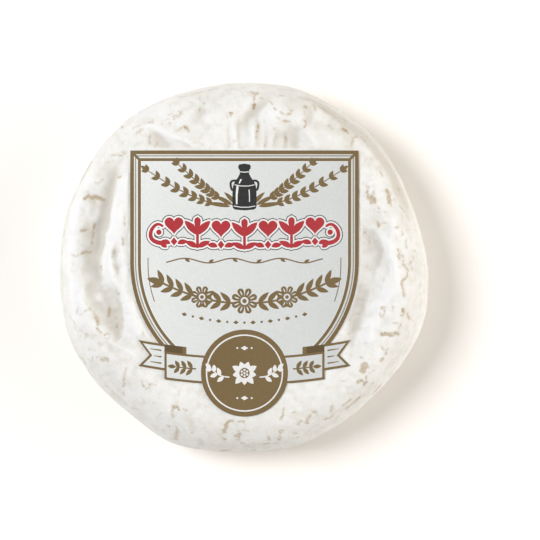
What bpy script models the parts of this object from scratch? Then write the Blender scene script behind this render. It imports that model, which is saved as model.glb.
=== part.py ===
"""A whole soft cheese with a white bloomy rind, and the paper label that lies on its top face.

Two solids: the cheese, an uneven round 110 mm across and 30 mm high with swollen edges and a
sunken, folded top, and the label, a shield with a ribbon and a round seal in front of its tip.
Metres, +Z up, +Y towards the label's straight edge, the origin under the middle of the cheese.
"""

import math

import bmesh
import bpy
import numpy as np
from mathutils.geometry import delaunay_2d_cdt

# ---------------------------------------------------------------- sizes
HEIGHT = 0.0284  # level of the top face between its folds
BULGE_AT = 0.0130  # height at which the side is widest
TOP_ROUND = 0.225  # part of the radius that the upper edge's rounding takes
BASE_ROUND = 0.125  # the same for the lower edge
TOP_POWER = 2.15  # squareness of the upper edge, 2 is round
BASE_POWER = 2.40
DISH_DEPTH = 0.0009  # the middle has sunk by this much
DISH_RADIUS = 0.040

# The drawing of the top face: one unit is 0.295 mm, x runs right and y runs down, and CENTRE is
# the middle of the cheese.
UNIT = 0.000295
CENTRE = (243.6, 266.9)

# The outline seen from above: the radius in mm at each angle in degrees, from +X towards +Y.
OUTLINE = (
    (0, 54.8), (15, 53.6), (30, 54.0), (45, 54.7), (60, 54.8), (75, 55.5),
    (90, 55.4), (105, 55.2), (120, 55.9), (135, 56.0), (150, 55.4), (165, 55.4),
    (180, 55.1), (195, 56.0), (205, 56.5), (220, 55.9), (235, 55.7), (247, 56.8),
    (258, 56.0), (270, 55.4), (285, 55.6), (300, 55.0), (315, 54.8), (330, 55.6),
    (345, 56.1),
)  # fmt: skip

# Broad folds of the top. Each is a line of (x, y, height in mm) in the drawing, the widths to
# its right and left hand, and how sharp its profile is: 2 is round, 1 is a crease.
FOLDS = (
    # the swollen rim on the left, the trough inside it and the ridge that follows
    (((98, 150, 0), (82, 185, 0.7), (74, 225, 1.0), (73, 265, 1.0), (76, 300, 0.8), (88, 338, 0)), 12, 10, 2),
    (((122, 150, 0), (114, 180, -0.9), (107, 210, -1.5), (102, 245, -1.9), (99, 270, -1.5), (106, 306, 0)), 17, 8, 1.5),
    (((128, 155, 0), (123, 185, 0.5), (116, 220, 0.8), (109, 250, 0.7), (105, 295, 0)), 7, 9, 2),
    (((98, 285, 0), (108, 305, -0.7), (116, 325, -1.0), (125, 358, 0)), 14, 8, 1.6),
    # the sunken middle's edge on the right, and the rim outside it
    (((350, 215, 0), (366, 230, -0.5), (385, 254, -0.8), (378, 276, -1.1), (370, 296, -1.3), (362, 322, -1.2), (338, 362, 0)), 13, 16, 1.4),
    (((362, 170, 0), (390, 205, 0.6), (403, 245, 0.9), (403, 290, 1.0), (394, 330, 0.9), (372, 372, 0.6), (320, 415, 0)), 17, 13, 2),
    # the valley and the mound above the label
    (((277, 90, 0), (266, 101, -0.5), (254, 113, -0.9), (244, 124, -0.6), (235, 138, 0)), 13, 8, 1.7),
    (((258, 118, 0), (274, 112, 0.6), (290, 122, 0)), 12, 12, 2),
    (((276, 140, 0), (294, 136, -0.7), (310, 140, 0)), 13, 13, 2),
)  # fmt: skip

# The label, in the drawing's units, from its own middle line.
LABEL_X = 244.5
SHIELD_TOP = 150.5
SHIELD_HALF = 114.2
SHIELD_ARC_AT = 262.0  # below this the sides are arcs that meet in the tip
SHIELD_ARC_R = 129.4
SEAL_AT = 373.0
SEAL_R = 43.5
RIBBON_BAND = (357.0, 385.0, 80.0)  # top, bottom and half width of the ribbon's front
RIBBON_TAIL = (350.0, 376.0, 106.0, 95.0)  # top, bottom, outer end and notch of its tails
RIBBON_BEND = 0.0009  # the ribbon rises towards its ends by this times the square of x
LABEL_GAP = 0.00042  # between rind and paper, more than the facets' sag
LABEL_THICK = 0.00030
LABEL_CALM = 0.25  # what is left of the folds under the label

# How finely the solids are faceted.
STEPS_ROUND = 96
TOP_RINGS = (0.14, 0.27, 0.38, 0.47, 0.545, 0.605, 0.655, 0.70, 0.74, 0.775)
EDGE_STEPS = 8
BASE_STEPS = 6
LABEL_GRID = 0.0042


# ---------------------------------------------------------------- shape of the cheese
def outline_radius(angle):
    """Radius in metres at an angle in radians, a smooth closed curve through OUTLINE."""
    at = np.array([a for a, _ in OUTLINE], float)
    size = np.array([r for _, r in OUTLINE], float) / 1000
    n = len(at)
    at = np.concatenate([at - 360, at, at + 360])
    size = np.tile(size, 3)
    slope = (np.roll(size, -1) - np.roll(size, 1)) / (
        (np.roll(at, -1) - np.roll(at, 1)) % 360
    )
    a = np.degrees(np.asarray(angle, float)) % 360
    i = np.clip(np.searchsorted(at, a, side="right") - 1, n - 1, 2 * n)
    step = at[i + 1] - at[i]
    t = (a - at[i]) / step
    return (
        size[i] * (1 + 2 * t) * (1 - t) ** 2
        + slope[i] * step * t * (1 - t) ** 2
        + size[i + 1] * t * t * (3 - 2 * t)
        + slope[i + 1] * step * t * t * (t - 1)
    )


def fold(x, y, line, right, left, power):
    """Height of one fold, in mm, at points of the drawing."""
    best = np.full(x.shape, 1e9)
    height = np.zeros(x.shape)
    for (x0, y0, h0), (x1, y1, h1) in zip(line, line[1:]):
        dx, dy = x1 - x0, y0 - y1
        length = math.hypot(dx, dy)
        px, py = x - x0, y0 - y
        t = np.clip((px * dx + py * dy) / length**2, 0, 1)
        ox, oy = px - t * dx, py - t * dy
        away = np.hypot(ox, oy)
        side = dx * py - dy * px > 0
        here = away < best
        best = np.where(here, away, best)
        width = np.where(side, left, right)
        t = t * t * (3 - 2 * t) * 0.5 + t * 0.5
        value = (h0 + (h1 - h0) * t) * np.exp(-((away / width) ** power))
        height = np.where(here, value, height)
    return height


def smooth(t):
    t = np.clip(t, 0, 1)
    return t * t * (3 - 2 * t)


def shield_half(y):
    """Half the shield's width at a height of the drawing."""
    down = np.clip(y - SHIELD_ARC_AT, 0, SHIELD_ARC_R)
    return SHIELD_HALF - SHIELD_ARC_R + np.sqrt(SHIELD_ARC_R**2 - down**2)


def under_label(x, y):
    """1 well inside the label's outline and 0 outside it, in the drawing."""
    across = np.abs(x - LABEL_X)
    shield = np.minimum(shield_half(y) - across, y - SHIELD_TOP)
    seal = SEAL_R - np.hypot(x - LABEL_X, y - SEAL_AT)
    level = y + RIBBON_BEND * across**2
    ribbon = np.minimum(
        RIBBON_TAIL[2] - across,
        np.minimum(level - RIBBON_TAIL[0], RIBBON_BAND[1] - level),
    )
    return smooth((np.maximum(np.maximum(shield, seal), ribbon) + 3) / 11)


def top_relief(px, py):
    """Height of the dish and the folds, in metres, at points in metres."""
    x, y = px / UNIT + CENTRE[0], CENTRE[1] - py / UNIT
    total = sum(fold(x, y, *f) for f in FOLDS)
    calm = 1 - (1 - LABEL_CALM) * under_label(x, y)
    dish = DISH_DEPTH * (1 - smooth(np.hypot(px, py) / DISH_RADIUS))
    return total * calm / 1000 - dish


def body_point(angle, share, level):
    """A point at a share of the outline's radius; level is its height before the relief."""
    r = outline_radius(angle) * share
    x, y = r * np.cos(angle), r * np.sin(angle)
    fade = smooth((level - BULGE_AT) / (HEIGHT - BULGE_AT) * 1.25)
    return x, y, level + top_relief(x, y) * fade


def top_level(share):
    """Height of the plain top face, with its rounded edge, at a share of the radius."""
    t = np.clip((share - 1 + TOP_ROUND) / TOP_ROUND, 0, 1)
    return BULGE_AT + (HEIGHT - BULGE_AT) * (1 - t**TOP_POWER) ** (1 / TOP_POWER)


def top_height(x, y):
    """Height of the finished top face at points in metres."""
    angle = np.arctan2(y, x)
    share = np.hypot(x, y) / outline_radius(angle)
    level = top_level(share)
    fade = smooth((level - BULGE_AT) / (HEIGHT - BULGE_AT) * 1.25)
    return level + top_relief(x, y) * fade


def rings():
    """Share of the radius and level of each ring, from the top's middle to the base."""
    found = [(s, HEIGHT) for s in TOP_RINGS]
    for i in range(1, EDGE_STEPS + 1):
        a = math.pi / 2 * (1 - i / EDGE_STEPS)
        share = 1 - TOP_ROUND + TOP_ROUND * math.cos(a) ** (2 / TOP_POWER)
        found.append((share, BULGE_AT + (HEIGHT - BULGE_AT) * math.sin(a) ** (2 / TOP_POWER)))
    for i in range(1, BASE_STEPS + 1):
        a = math.pi / 2 * i / BASE_STEPS
        c, s = max(math.cos(a), 0.0), math.sin(a)
        share = 1 - BASE_ROUND + BASE_ROUND * c ** (2 / BASE_POWER)
        found.append((share, BULGE_AT * (1 - s ** (2 / BASE_POWER))))
    found[-1] = (1 - BASE_ROUND, 0.0)
    found.append((0.45, 0.0))
    return found


# ---------------------------------------------------------------- making objects
def paint(name, colour, roughness):
    material = bpy.data.materials.new(name)
    material.use_nodes = True
    shader = material.node_tree.nodes["Principled BSDF"]
    shader.inputs["Base Color"].default_value = (*colour, 1)
    shader.inputs["Roughness"].default_value = roughness
    shader.inputs["Metallic"].default_value = 0
    return material


def keep(name, mesh, material):
    obj = bpy.data.objects.new(name, mesh)
    bpy.context.scene.collection.objects.link(obj)
    mesh.materials.append(material)
    mesh.shade_smooth()
    mesh.set_sharp_from_angle(angle=math.radians(50))
    return obj


def make_cheese():
    bm = bmesh.new()
    angles = np.arange(STEPS_ROUND) * 2 * math.pi / STEPS_ROUND
    zero = np.zeros(1)
    x, y, z = body_point(zero, zero, np.full(1, HEIGHT))
    middle = bm.verts.new((x[0], y[0], z[0]))
    loops = []
    for share, level in rings():
        x, y, z = body_point(angles, np.full(angles.shape, share), np.full(angles.shape, level))
        loops.append([bm.verts.new(p) for p in zip(x, y, z)])
    under = bm.verts.new((0, 0, 0))
    n = STEPS_ROUND
    for i in range(n):
        bm.faces.new((middle, loops[0][i], loops[0][(i + 1) % n]))
        bm.faces.new((under, loops[-1][(i + 1) % n], loops[-1][i]))
    for upper, lower in zip(loops, loops[1:]):
        for i in range(n):
            j = (i + 1) % n
            bm.faces.new((upper[i], lower[i], lower[j], upper[j]))
    bmesh.ops.triangulate(bm, faces=bm.faces[:])
    bmesh.ops.recalc_face_normals(bm, faces=bm.faces[:])
    mesh = bpy.data.meshes.new("cheese")
    bm.to_mesh(mesh)
    bm.free()
    return keep("cheese", mesh, paint("rind", (0.90, 0.87, 0.81), 0.75))


def on_ribbon(x, y):
    """A point of the ribbon, which bends up towards its ends."""
    return x, y - RIBBON_BEND * x * x


def along(start, end, steps):
    """Points from start to end, without the first."""
    return [
        (start[0] + (end[0] - start[0]) * k / steps, start[1] + (end[1] - start[1]) * k / steps)
        for k in range(1, steps + 1)
    ]


def label_outline():
    """The label's edge in the drawing's units, as a closed run of (x, y), right half first."""
    _, band_bottom, band_out = RIBBON_BAND
    tail_top, tail_bottom, tail_out, notch = RIBBON_TAIL
    half = [(0.0, SHIELD_TOP)]
    half += along((0, SHIELD_TOP), (SHIELD_HALF, SHIELD_TOP), 8)
    half += along((SHIELD_HALF, SHIELD_TOP), (SHIELD_HALF, SHIELD_ARC_AT), 8)
    y = SHIELD_ARC_AT
    while True:  # down the shield's side until it meets the ribbon's tail
        y += 8.0
        x = float(shield_half(np.array(y)))
        if y + 3.0 > on_ribbon(x, tail_top)[1]:
            break
        half.append((x, y))
    for _ in range(20):
        y = on_ribbon(x, tail_top)[1]
        x = float(shield_half(np.array(y)))
    half.append((x, y))
    tail = along((x, tail_top), (tail_out, tail_top), 3)
    tail += [(notch, (tail_top + tail_bottom) / 2), (tail_out, tail_bottom)]
    tail += along((tail_out, tail_bottom), (band_out, tail_bottom), 3)
    tail += [(band_out, band_bottom)]
    turn = math.asin((band_bottom - 3.0 - SEAL_AT) / SEAL_R)
    tail += along((band_out, band_bottom), (SEAL_R * math.cos(turn) + 1.5, band_bottom), 4)
    half += [on_ribbon(*p) for p in tail]
    for k in range(13):
        a = turn + (math.pi / 2 - turn) * k / 12
        half.append((SEAL_R * math.cos(a), SEAL_AT + SEAL_R * math.sin(a)))
    half[-1] = (0.0, SEAL_AT + SEAL_R)
    other = [(-x, y) for x, y in reversed(half[1:-1])]
    return [(LABEL_X + x, y) for x, y in half + other]


def inside(points, ring):
    """Which points lie inside a closed ring."""
    x, y = points[:, 0], points[:, 1]
    found = np.zeros(len(points), bool)
    for (x0, y0), (x1, y1) in zip(ring, ring[1:] + ring[:1]):
        crosses = (y0 > y) != (y1 > y)
        with np.errstate(divide="ignore", invalid="ignore"):
            found ^= crosses & (x < (x1 - x0) * (y - y0) / (y1 - y0) + x0)
    return found


def make_label():
    ring = [((x - CENTRE[0]) * UNIT, (CENTRE[1] - y) * UNIT) for x, y in label_outline()]
    ring.reverse()  # anticlockwise seen from above
    edge = np.array(ring)
    low, high = edge.min(0), edge.max(0)
    gx, gy = np.meshgrid(
        np.arange(low[0] + LABEL_GRID / 2, high[0], LABEL_GRID),
        np.arange(low[1] + LABEL_GRID / 2, high[1], LABEL_GRID),
    )
    grid = np.stack([gx.ravel(), gy.ravel()], 1)
    grid = grid[inside(grid, ring)]
    near = np.hypot(grid[:, None, 0] - edge[None, :, 0], grid[:, None, 1] - edge[None, :, 1])
    grid = grid[near.min(1) > LABEL_GRID * 0.45]
    points = [tuple(map(float, p)) for p in edge] + [tuple(map(float, p)) for p in grid]
    n = len(edge)
    verts, _, faces, _, _, _ = delaunay_2d_cdt(
        points, [(i, (i + 1) % n) for i in range(n)], [list(range(n))], 1, 1e-9
    )
    flat = np.array([tuple(v) for v in verts])
    top = top_height(flat[:, 0], flat[:, 1]) + LABEL_GAP
    bm = bmesh.new()
    lower = [bm.verts.new((x, y, z)) for (x, y), z in zip(flat, top)]
    bottom = [bm.faces.new([lower[i] for i in f]) for f in faces]
    made = bmesh.ops.extrude_face_region(bm, geom=bottom)
    raised = [g for g in made["geom"] if isinstance(g, bmesh.types.BMVert)]
    bmesh.ops.translate(bm, verts=raised, vec=(0, 0, LABEL_THICK))
    bmesh.ops.triangulate(bm, faces=bm.faces[:])
    bmesh.ops.recalc_face_normals(bm, faces=bm.faces[:])
    mesh = bpy.data.meshes.new("label")
    bm.to_mesh(mesh)
    bm.free()
    return keep("label", mesh, paint("paper", (0.80, 0.80, 0.77), 0.5))


for old in list(bpy.data.objects):
    bpy.data.objects.remove(old)
make_cheese()
make_label()
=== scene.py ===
import math
import random

import bpy
import numpy as np
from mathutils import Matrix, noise
from mathutils.geometry import delaunay_2d_cdt


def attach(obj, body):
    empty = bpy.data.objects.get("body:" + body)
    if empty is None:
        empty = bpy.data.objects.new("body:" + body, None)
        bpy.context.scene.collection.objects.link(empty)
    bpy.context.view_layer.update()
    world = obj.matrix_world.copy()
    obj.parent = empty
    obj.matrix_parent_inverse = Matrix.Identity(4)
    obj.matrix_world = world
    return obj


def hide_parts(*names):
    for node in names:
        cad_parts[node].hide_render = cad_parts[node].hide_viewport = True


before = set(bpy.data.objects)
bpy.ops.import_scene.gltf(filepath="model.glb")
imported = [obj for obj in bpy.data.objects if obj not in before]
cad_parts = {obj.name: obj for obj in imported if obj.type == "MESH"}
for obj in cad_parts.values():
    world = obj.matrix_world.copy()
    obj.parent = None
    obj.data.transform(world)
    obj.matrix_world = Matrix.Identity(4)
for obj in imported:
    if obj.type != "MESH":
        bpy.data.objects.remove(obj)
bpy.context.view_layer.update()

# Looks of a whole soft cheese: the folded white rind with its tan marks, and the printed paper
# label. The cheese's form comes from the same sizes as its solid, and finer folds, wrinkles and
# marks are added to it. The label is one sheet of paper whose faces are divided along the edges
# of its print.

scene = bpy.context.scene

# ---------------------------------------------------------------- sizes shared with the solid
HEIGHT = 0.0284
BULGE_AT = 0.0130
TOP_ROUND = 0.225
BASE_ROUND = 0.125
TOP_POWER = 2.15
BASE_POWER = 2.40
DISH_DEPTH = 0.0009
DISH_RADIUS = 0.040
UNIT = 0.000295  # one unit of the drawing of the top face, x right and y down
CENTRE = (243.6, 266.9)
OUTLINE = (
    (0, 54.8), (15, 53.6), (30, 54.0), (45, 54.7), (60, 54.8), (75, 55.5),
    (90, 55.4), (105, 55.2), (120, 55.9), (135, 56.0), (150, 55.4), (165, 55.4),
    (180, 55.1), (195, 56.0), (205, 56.5), (220, 55.9), (235, 55.7), (247, 56.8),
    (258, 56.0), (270, 55.4), (285, 55.6), (300, 55.0), (315, 54.8), (330, 55.6),
    (345, 56.1),
)  # fmt: skip
# Broad folds of the top: a line of (x, y, height in mm), widths to the right and left, sharpness.
FOLDS = (
    (((98, 150, 0), (82, 185, 0.7), (74, 225, 1.0), (73, 265, 1.0), (76, 300, 0.8), (88, 338, 0)), 12, 10, 2),
    (((122, 150, 0), (114, 180, -0.9), (107, 210, -1.5), (102, 245, -1.9), (99, 270, -1.5), (106, 306, 0)), 17, 8, 1.5),
    (((128, 155, 0), (123, 185, 0.5), (116, 220, 0.8), (109, 250, 0.7), (105, 295, 0)), 7, 9, 2),
    (((98, 285, 0), (108, 305, -0.7), (116, 325, -1.0), (125, 358, 0)), 14, 8, 1.6),
    (((350, 215, 0), (366, 230, -0.5), (385, 254, -0.8), (378, 276, -1.1), (370, 296, -1.3), (362, 322, -1.2), (338, 362, 0)), 13, 16, 1.4),
    (((362, 170, 0), (390, 205, 0.6), (403, 245, 0.9), (403, 290, 1.0), (394, 330, 0.9), (372, 372, 0.6), (320, 415, 0)), 17, 13, 2),
    (((277, 90, 0), (266, 101, -0.5), (254, 113, -0.9), (244, 124, -0.6), (235, 138, 0)), 13, 8, 1.7),
    (((258, 118, 0), (274, 112, 0.6), (290, 122, 0)), 12, 12, 2),
    (((276, 140, 0), (294, 136, -0.7), (310, 140, 0)), 13, 13, 2),
)  # fmt: skip
LABEL_X = 244.5
SHIELD_TOP = 150.5
SHIELD_HALF = 114.2
SHIELD_ARC_AT = 262.0
SHIELD_ARC_R = 129.4
SEAL_AT = 373.0
SEAL_R = 43.5
RIBBON_BAND = (357.0, 385.0, 80.0)
RIBBON_TAIL = (350.0, 376.0, 106.0, 95.0)
RIBBON_BEND = 0.0009
LABEL_CALM = 0.25

# ---------------------------------------------------------------- sizes of the fine surface
PAPER_GAP = 0.00020  # between rind and paper
PAPER_THICK = 0.00012
BROAD_GAIN = 1.2  # the folds are as much deeper where no paper covers them
# Finer folds and creases, in the same terms as FOLDS.
CREASES = (
    # left: the long trough with the ridge beside it, which forks lower down
    (((116, 158, 0), (111, 182, -0.42), (108, 205, -0.56), (102, 228, -0.66), (97, 250, -0.74), (96, 268, -0.62), (98, 284, -0.4), (103, 300, 0)), 17, 4.5, 2.2),
    (((133, 162, 0), (122, 184, 0.35), (119, 205, 0.45), (114, 226, 0.5), (107, 244, 0.55), (103, 262, 0.5), (101, 280, 0)), 4, 5, 2),
    (((96, 180, 0), (88, 200, -1.0), (84, 222, -1.05), (82, 246, -1.2), (83, 268, -1.0), (88, 290, -0.65), (94, 308, 0)), 13, 15, 2),
    (((94, 196, 0), (93, 208, -0.25), (88, 222, 0)), 3, 3, 2),
    (((80, 222, 0), (88, 234, -0.22), (92, 250, 0)), 2.6, 3, 2),
    (((100, 196, 0), (97, 214, 0.25), (92, 232, 0)), 3, 3, 2),
    (((112, 236, 0), (114.5, 252, -1.15), (115.5, 268, -1.3), (117, 286, 0)), 3.2, 4.8, 2),
    (((131, 222, 0), (128, 238, -0.25), (126, 254, 0)), 5, 3, 2),
    (((120, 232, 0), (121, 256, 0.35), (123, 274, 0.3), (124, 288, 0)), 3, 4, 2),
    # left, lower: a wide hollow with a steep far wall, and a crease that crosses below it
    (((108, 280, 0), (117, 294, -0.9), (121.5, 310, -1.2), (121, 326, -1.1), (113, 348, 0)), 28, 3.4, 2.2),
    (((90, 274, 0), (94, 294, -1.0), (99, 314, -1.1), (104, 338, 0)), 13, 15, 2),
    (((96, 292, 0), (103, 304, 0.3), (108, 320, 0)), 3, 4, 2),
    (((127, 296, 0), (131, 312, 0.55), (136, 328, 0.65), (142, 346, 0.4), (150, 362, 0)), 6, 9, 2),
    (((124, 276, 0), (129, 290, -0.3), (134, 304, 0)), 3.5, 4, 2),
    (((66, 306, 0), (74, 320, 0.4), (84, 332, 0)), 8, 7, 2),
    (((96, 329, 0), (104, 336, 0.12), (113, 343, 0.28), (125, 350, 0.3), (137, 357, 0.2), (150, 368, 0)), 2.6, 1.6, 1.5),
    (((84, 330, 0), (97, 340, -0.5), (112, 349, -0.5), (124, 360, 0)), 7, 5, 2),
    (((112, 358, 0), (117, 372, 0.35), (120, 386, 0)), 5, 5, 2),
    (((130, 366, 0), (138, 380, -0.15), (150, 394, 0)), 8, 8, 2),
    # lower left: lips along the edge
    (((99, 379, 0), (107, 388, -0.15), (115, 395.5, -0.2), (126, 405, -0.2), (138, 411, 0)), 1.6, 2.2, 1.6),
    (((98, 382, 0), (112, 396.5, 0.18), (124, 407, 0.18), (138, 415, 0)), 2.4, 2, 2),
    (((143, 406.5, 0), (152.5, 417.5, 0.22), (162.5, 425, 0.22), (171, 430, 0)), 2, 1.6, 1.6),
    (((149, 424, 0), (157.5, 431, -0.2), (167, 432, 0)), 1.6, 2, 1.6),
    # bottom
    (((164, 394, 0), (166.5, 410, 0.4), (166, 424, 0)), 4.5, 4, 2),
    (((180, 404, 0), (182, 416, -0.25), (184, 430, 0)), 5, 5, 2),
    (((198, 402, 0), (199, 414, 0.3), (197, 428, 0)), 5, 5, 2),
    (((176, 424, 0), (175.6, 434, -0.2), (175, 443, 0)), 2, 2, 2),
    (((196, 447, 0), (201, 444, -0.3), (206, 449, 0)), 3, 2.5, 2),
    (((188, 444, 0), (215, 447, -0.22), (250, 449, -0.22), (300, 443, 0)), 4, 5, 2),
    (((238, 438, 0), (254, 440, 0.2), (272, 438, 0)), 5, 5, 2.5),
    (((212, 430, 0), (222, 436, -0.2), (234, 436, 0)), 5, 5, 2),
    (((262, 424, 0), (280, 424, 0.2), (296, 416, 0)), 7, 6, 2),
    (((290, 430, 0), (306, 432, -0.2), (324, 426, 0)), 4, 4, 2),
    # upper left: a bent ridge with the hollow below it, and faint pleats
    (((143, 125, 0), (149, 126.5, 0.5), (155, 128.5, 0.65), (163, 132.5, 0.65), (176, 139, 0.6), (190, 145.5, 0.4), (206, 151, 0)), 2.6, 5, 1.5),
    (((148, 130, 0), (154, 135, -0.6), (163, 143, -0.55), (174, 152, 0)), 8, 5, 2),
    (((172, 142, 0), (184, 148, -0.3), (198, 155, 0)), 4, 3, 2),
    (((140, 122, 0), (144.5, 129, 0.4), (147, 138, 0)), 4, 3, 2),
    (((137, 134, 0), (136, 142, -0.2), (135, 152, 0)), 2, 2.5, 2),
    (((143, 134, 0), (142, 144, 0.15), (141, 152, 0)), 2, 2.5, 2),
    (((206, 104, 0), (202, 112, -0.5), (196, 120, -0.42), (188, 130, 0)), 9, 3.5, 2),
    (((212, 104, 0), (208, 118, 0.35), (206, 134, 0)), 4, 12, 2),
    (((165, 108, 0), (176, 117, 0.25), (184, 126, 0)), 8, 7, 2),
    (((240, 92, 0), (243, 104, 0.28), (238, 114, 0)), 7, 7, 2),
    (((128, 132, 0), (120, 146, 0.3), (112, 160, 0)), 7, 6, 2),
    (((196, 86, 0), (214, 92, -0.2), (232, 90, 0)), 5, 4, 2),
    (((128, 122, 0), (144, 110, 0.5), (164, 100, 0.5), (188, 92, 0)), 8, 8, 2),
    (((252, 152, 0), (266, 140, -0.5), (282, 138, -0.6), (300, 148, 0)), 14, 13, 2),
    (((150, 151, 0), (160, 144, -0.5), (172, 148, 0)), 8, 6, 2),
    # upper middle: upright pleats
    (((228.5, 116, 0), (228.6, 134, -0.4), (228, 152, -0.4)), 2.0, 1.6, 2),
    (((237.5, 112, 0), (238, 130, -0.5), (237.6, 152, -0.45)), 1.6, 2.6, 2),
    (((233, 118, 0), (233.4, 134, 0.2), (233, 151, 0.1)), 2.4, 2.4, 2),
    (((248, 108, 0), (246, 124, -0.38), (245, 151, -0.3)), 8, 4, 2.2),
    (((253, 122, 0), (252.6, 136, 0.38), (252, 151, 0.2)), 2.4, 2.2, 2),
    (((259, 114, 0), (257.6, 128, -0.45), (257, 146, -0.3), (257, 152, -0.2)), 1.8, 2.6, 2),
    (((270, 99, 0), (262, 107, -0.25), (252, 114, -0.25), (243, 122, 0)), 5, 5, 2),
    (((264, 106, 0), (267, 118, 0.45), (266, 134, 0)), 7, 9, 2),
    (((280, 120, 0), (286, 134, -0.32), (290, 151, -0.38)), 12, 14, 2.5),
    (((293, 126, 0), (295.5, 140, -0.3), (296, 151, -0.3)), 3, 4.6, 2),
    (((276, 126, 0), (275, 138, -0.35), (275, 152, -0.3)), 1.8, 2.6, 2),
    (((284, 128, 0), (284, 138, -0.3), (284, 152, -0.3)), 1.6, 2.2, 2),
    (((266, 128, 0), (265.6, 138, -0.3), (266, 152, -0.3)), 1.6, 2.4, 2),
    (((287, 130, 0), (288, 140, 0.18), (288, 151, 0.1)), 2, 2, 2),
    (((303, 132, 0), (306, 142, -0.2), (308, 151, -0.1)), 4, 4, 2),
    (((271, 130, 0), (271, 141, 0.2), (270, 151, 0.1)), 3, 3, 2),
    # upper right
    (((309, 106, 0), (308.5, 118, -0.32), (306, 132, 0)), 4, 3.5, 2),
    (((314, 104, 0), (321, 116, 0.45), (330, 130, 0)), 5, 6, 2),
    (((308, 120, 0), (313, 130, -0.16), (318, 140, 0)), 6, 6, 2),
    (((301, 128, 0), (309, 139, 0.35), (318, 150, 0.2)), 4, 5, 2),
    (((322, 146, 0), (334, 139, 0.3), (348, 136, 0)), 8, 7, 2),
    (((298, 94, 0), (315, 101, -0.4), (330, 111, -0.5), (346, 123, -0.5), (361, 135, -0.45), (377, 151, -0.4), (391, 171, -0.35), (401, 190, 0)), 3, 7, 2),
    (((296, 95, 0), (306, 98.5, -0.16), (316, 103, 0)), 1.6, 1.6, 2),
    (((332, 102, 0), (352, 118, -0.45), (374, 143, -0.6), (391, 172, -0.8), (403, 200, -0.45), (410, 224, 0)), 6, 7, 2),
    (((372, 142, 0), (382, 152, -0.13), (390, 164, 0)), 1.2, 1.2, 2),
    (((378, 144, 0), (388, 156, -0.13), (395, 168, 0)), 1.2, 1.2, 2),
    (((362, 160, 0), (374, 178, 0.25), (384, 196, 0)), 8, 7, 2),
    (((392, 176, 0), (400, 194, -0.2), (408, 214, 0)), 4, 4, 2),
    # right: the sunken part beside the label, its sharp far edge, and the folds that meet there
    (((352, 229, 0), (362.5, 231, -0.2), (371, 235.5, -0.32), (378, 242.5, -0.42), (380.5, 249, -0.48), (379, 257, -0.48), (375.8, 266, -0.46), (373, 277.5, -0.42), (369.5, 284, -0.36), (366.8, 293, -0.55), (363, 308, -0.6), (359.5, 318, -0.55), (354.5, 327, -0.4), (346, 334, 0)), 26, 3.2, 4),
    (((368, 224, 0), (378, 234, 0.55), (387, 247, 1.1), (394, 262, 0.85), (395, 284, 0.6), (389, 306, 0)), 6, 6, 2),
    (((396, 208, 0), (394, 228, 0.6), (389, 246, 0.5), (383, 258, 0)), 5, 5, 2),
    (((358, 232, 0), (367, 250, -0.3), (365, 272, -0.2), (360, 298, -0.25), (350, 326, 0)), 10, 9, 2),
    (((389, 258, 0), (385, 284, 1.0), (378, 312, 1.2), (369, 334, 1.2), (354, 352, 0)), 10, 9, 2),
    (((388.6, 258, 0), (388.6, 268, -0.36), (387.6, 284, 0)), 2.6, 2.6, 2),
    (((377, 284, 0), (374, 304, 0.35), (367, 322, 0.35), (356, 340, 0)), 3.5, 10, 2),
    (((404, 284, 0), (409, 302, -0.16), (414, 320, 0)), 6, 6, 2),
    (((366, 208, 0), (372, 216, -0.12), (384, 222, 0)), 6, 6, 2),
    # lower right: a shallow groove inside the edge, and fine streaks that run with it
    (((396, 350, 0), (388, 365, -0.18), (376, 380, -0.22), (363, 394, -0.22), (350, 406, -0.16), (340, 416, 0)), 4, 5, 2),
    (((360, 388, 0), (352, 396, -0.22), (342, 405, 0)), 1.6, 1.6, 1.8),
    (((362, 396.5, 0), (355, 401, -0.16), (349, 407, 0)), 1.2, 1.2, 2),
    (((382, 348, 0), (372, 364, 0.22), (358, 378, 0)), 7, 7, 2),
    (((345, 352, 0), (356, 350, 0.2), (368, 342, 0)), 7, 7, 2),
)  # fmt: skip
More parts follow.
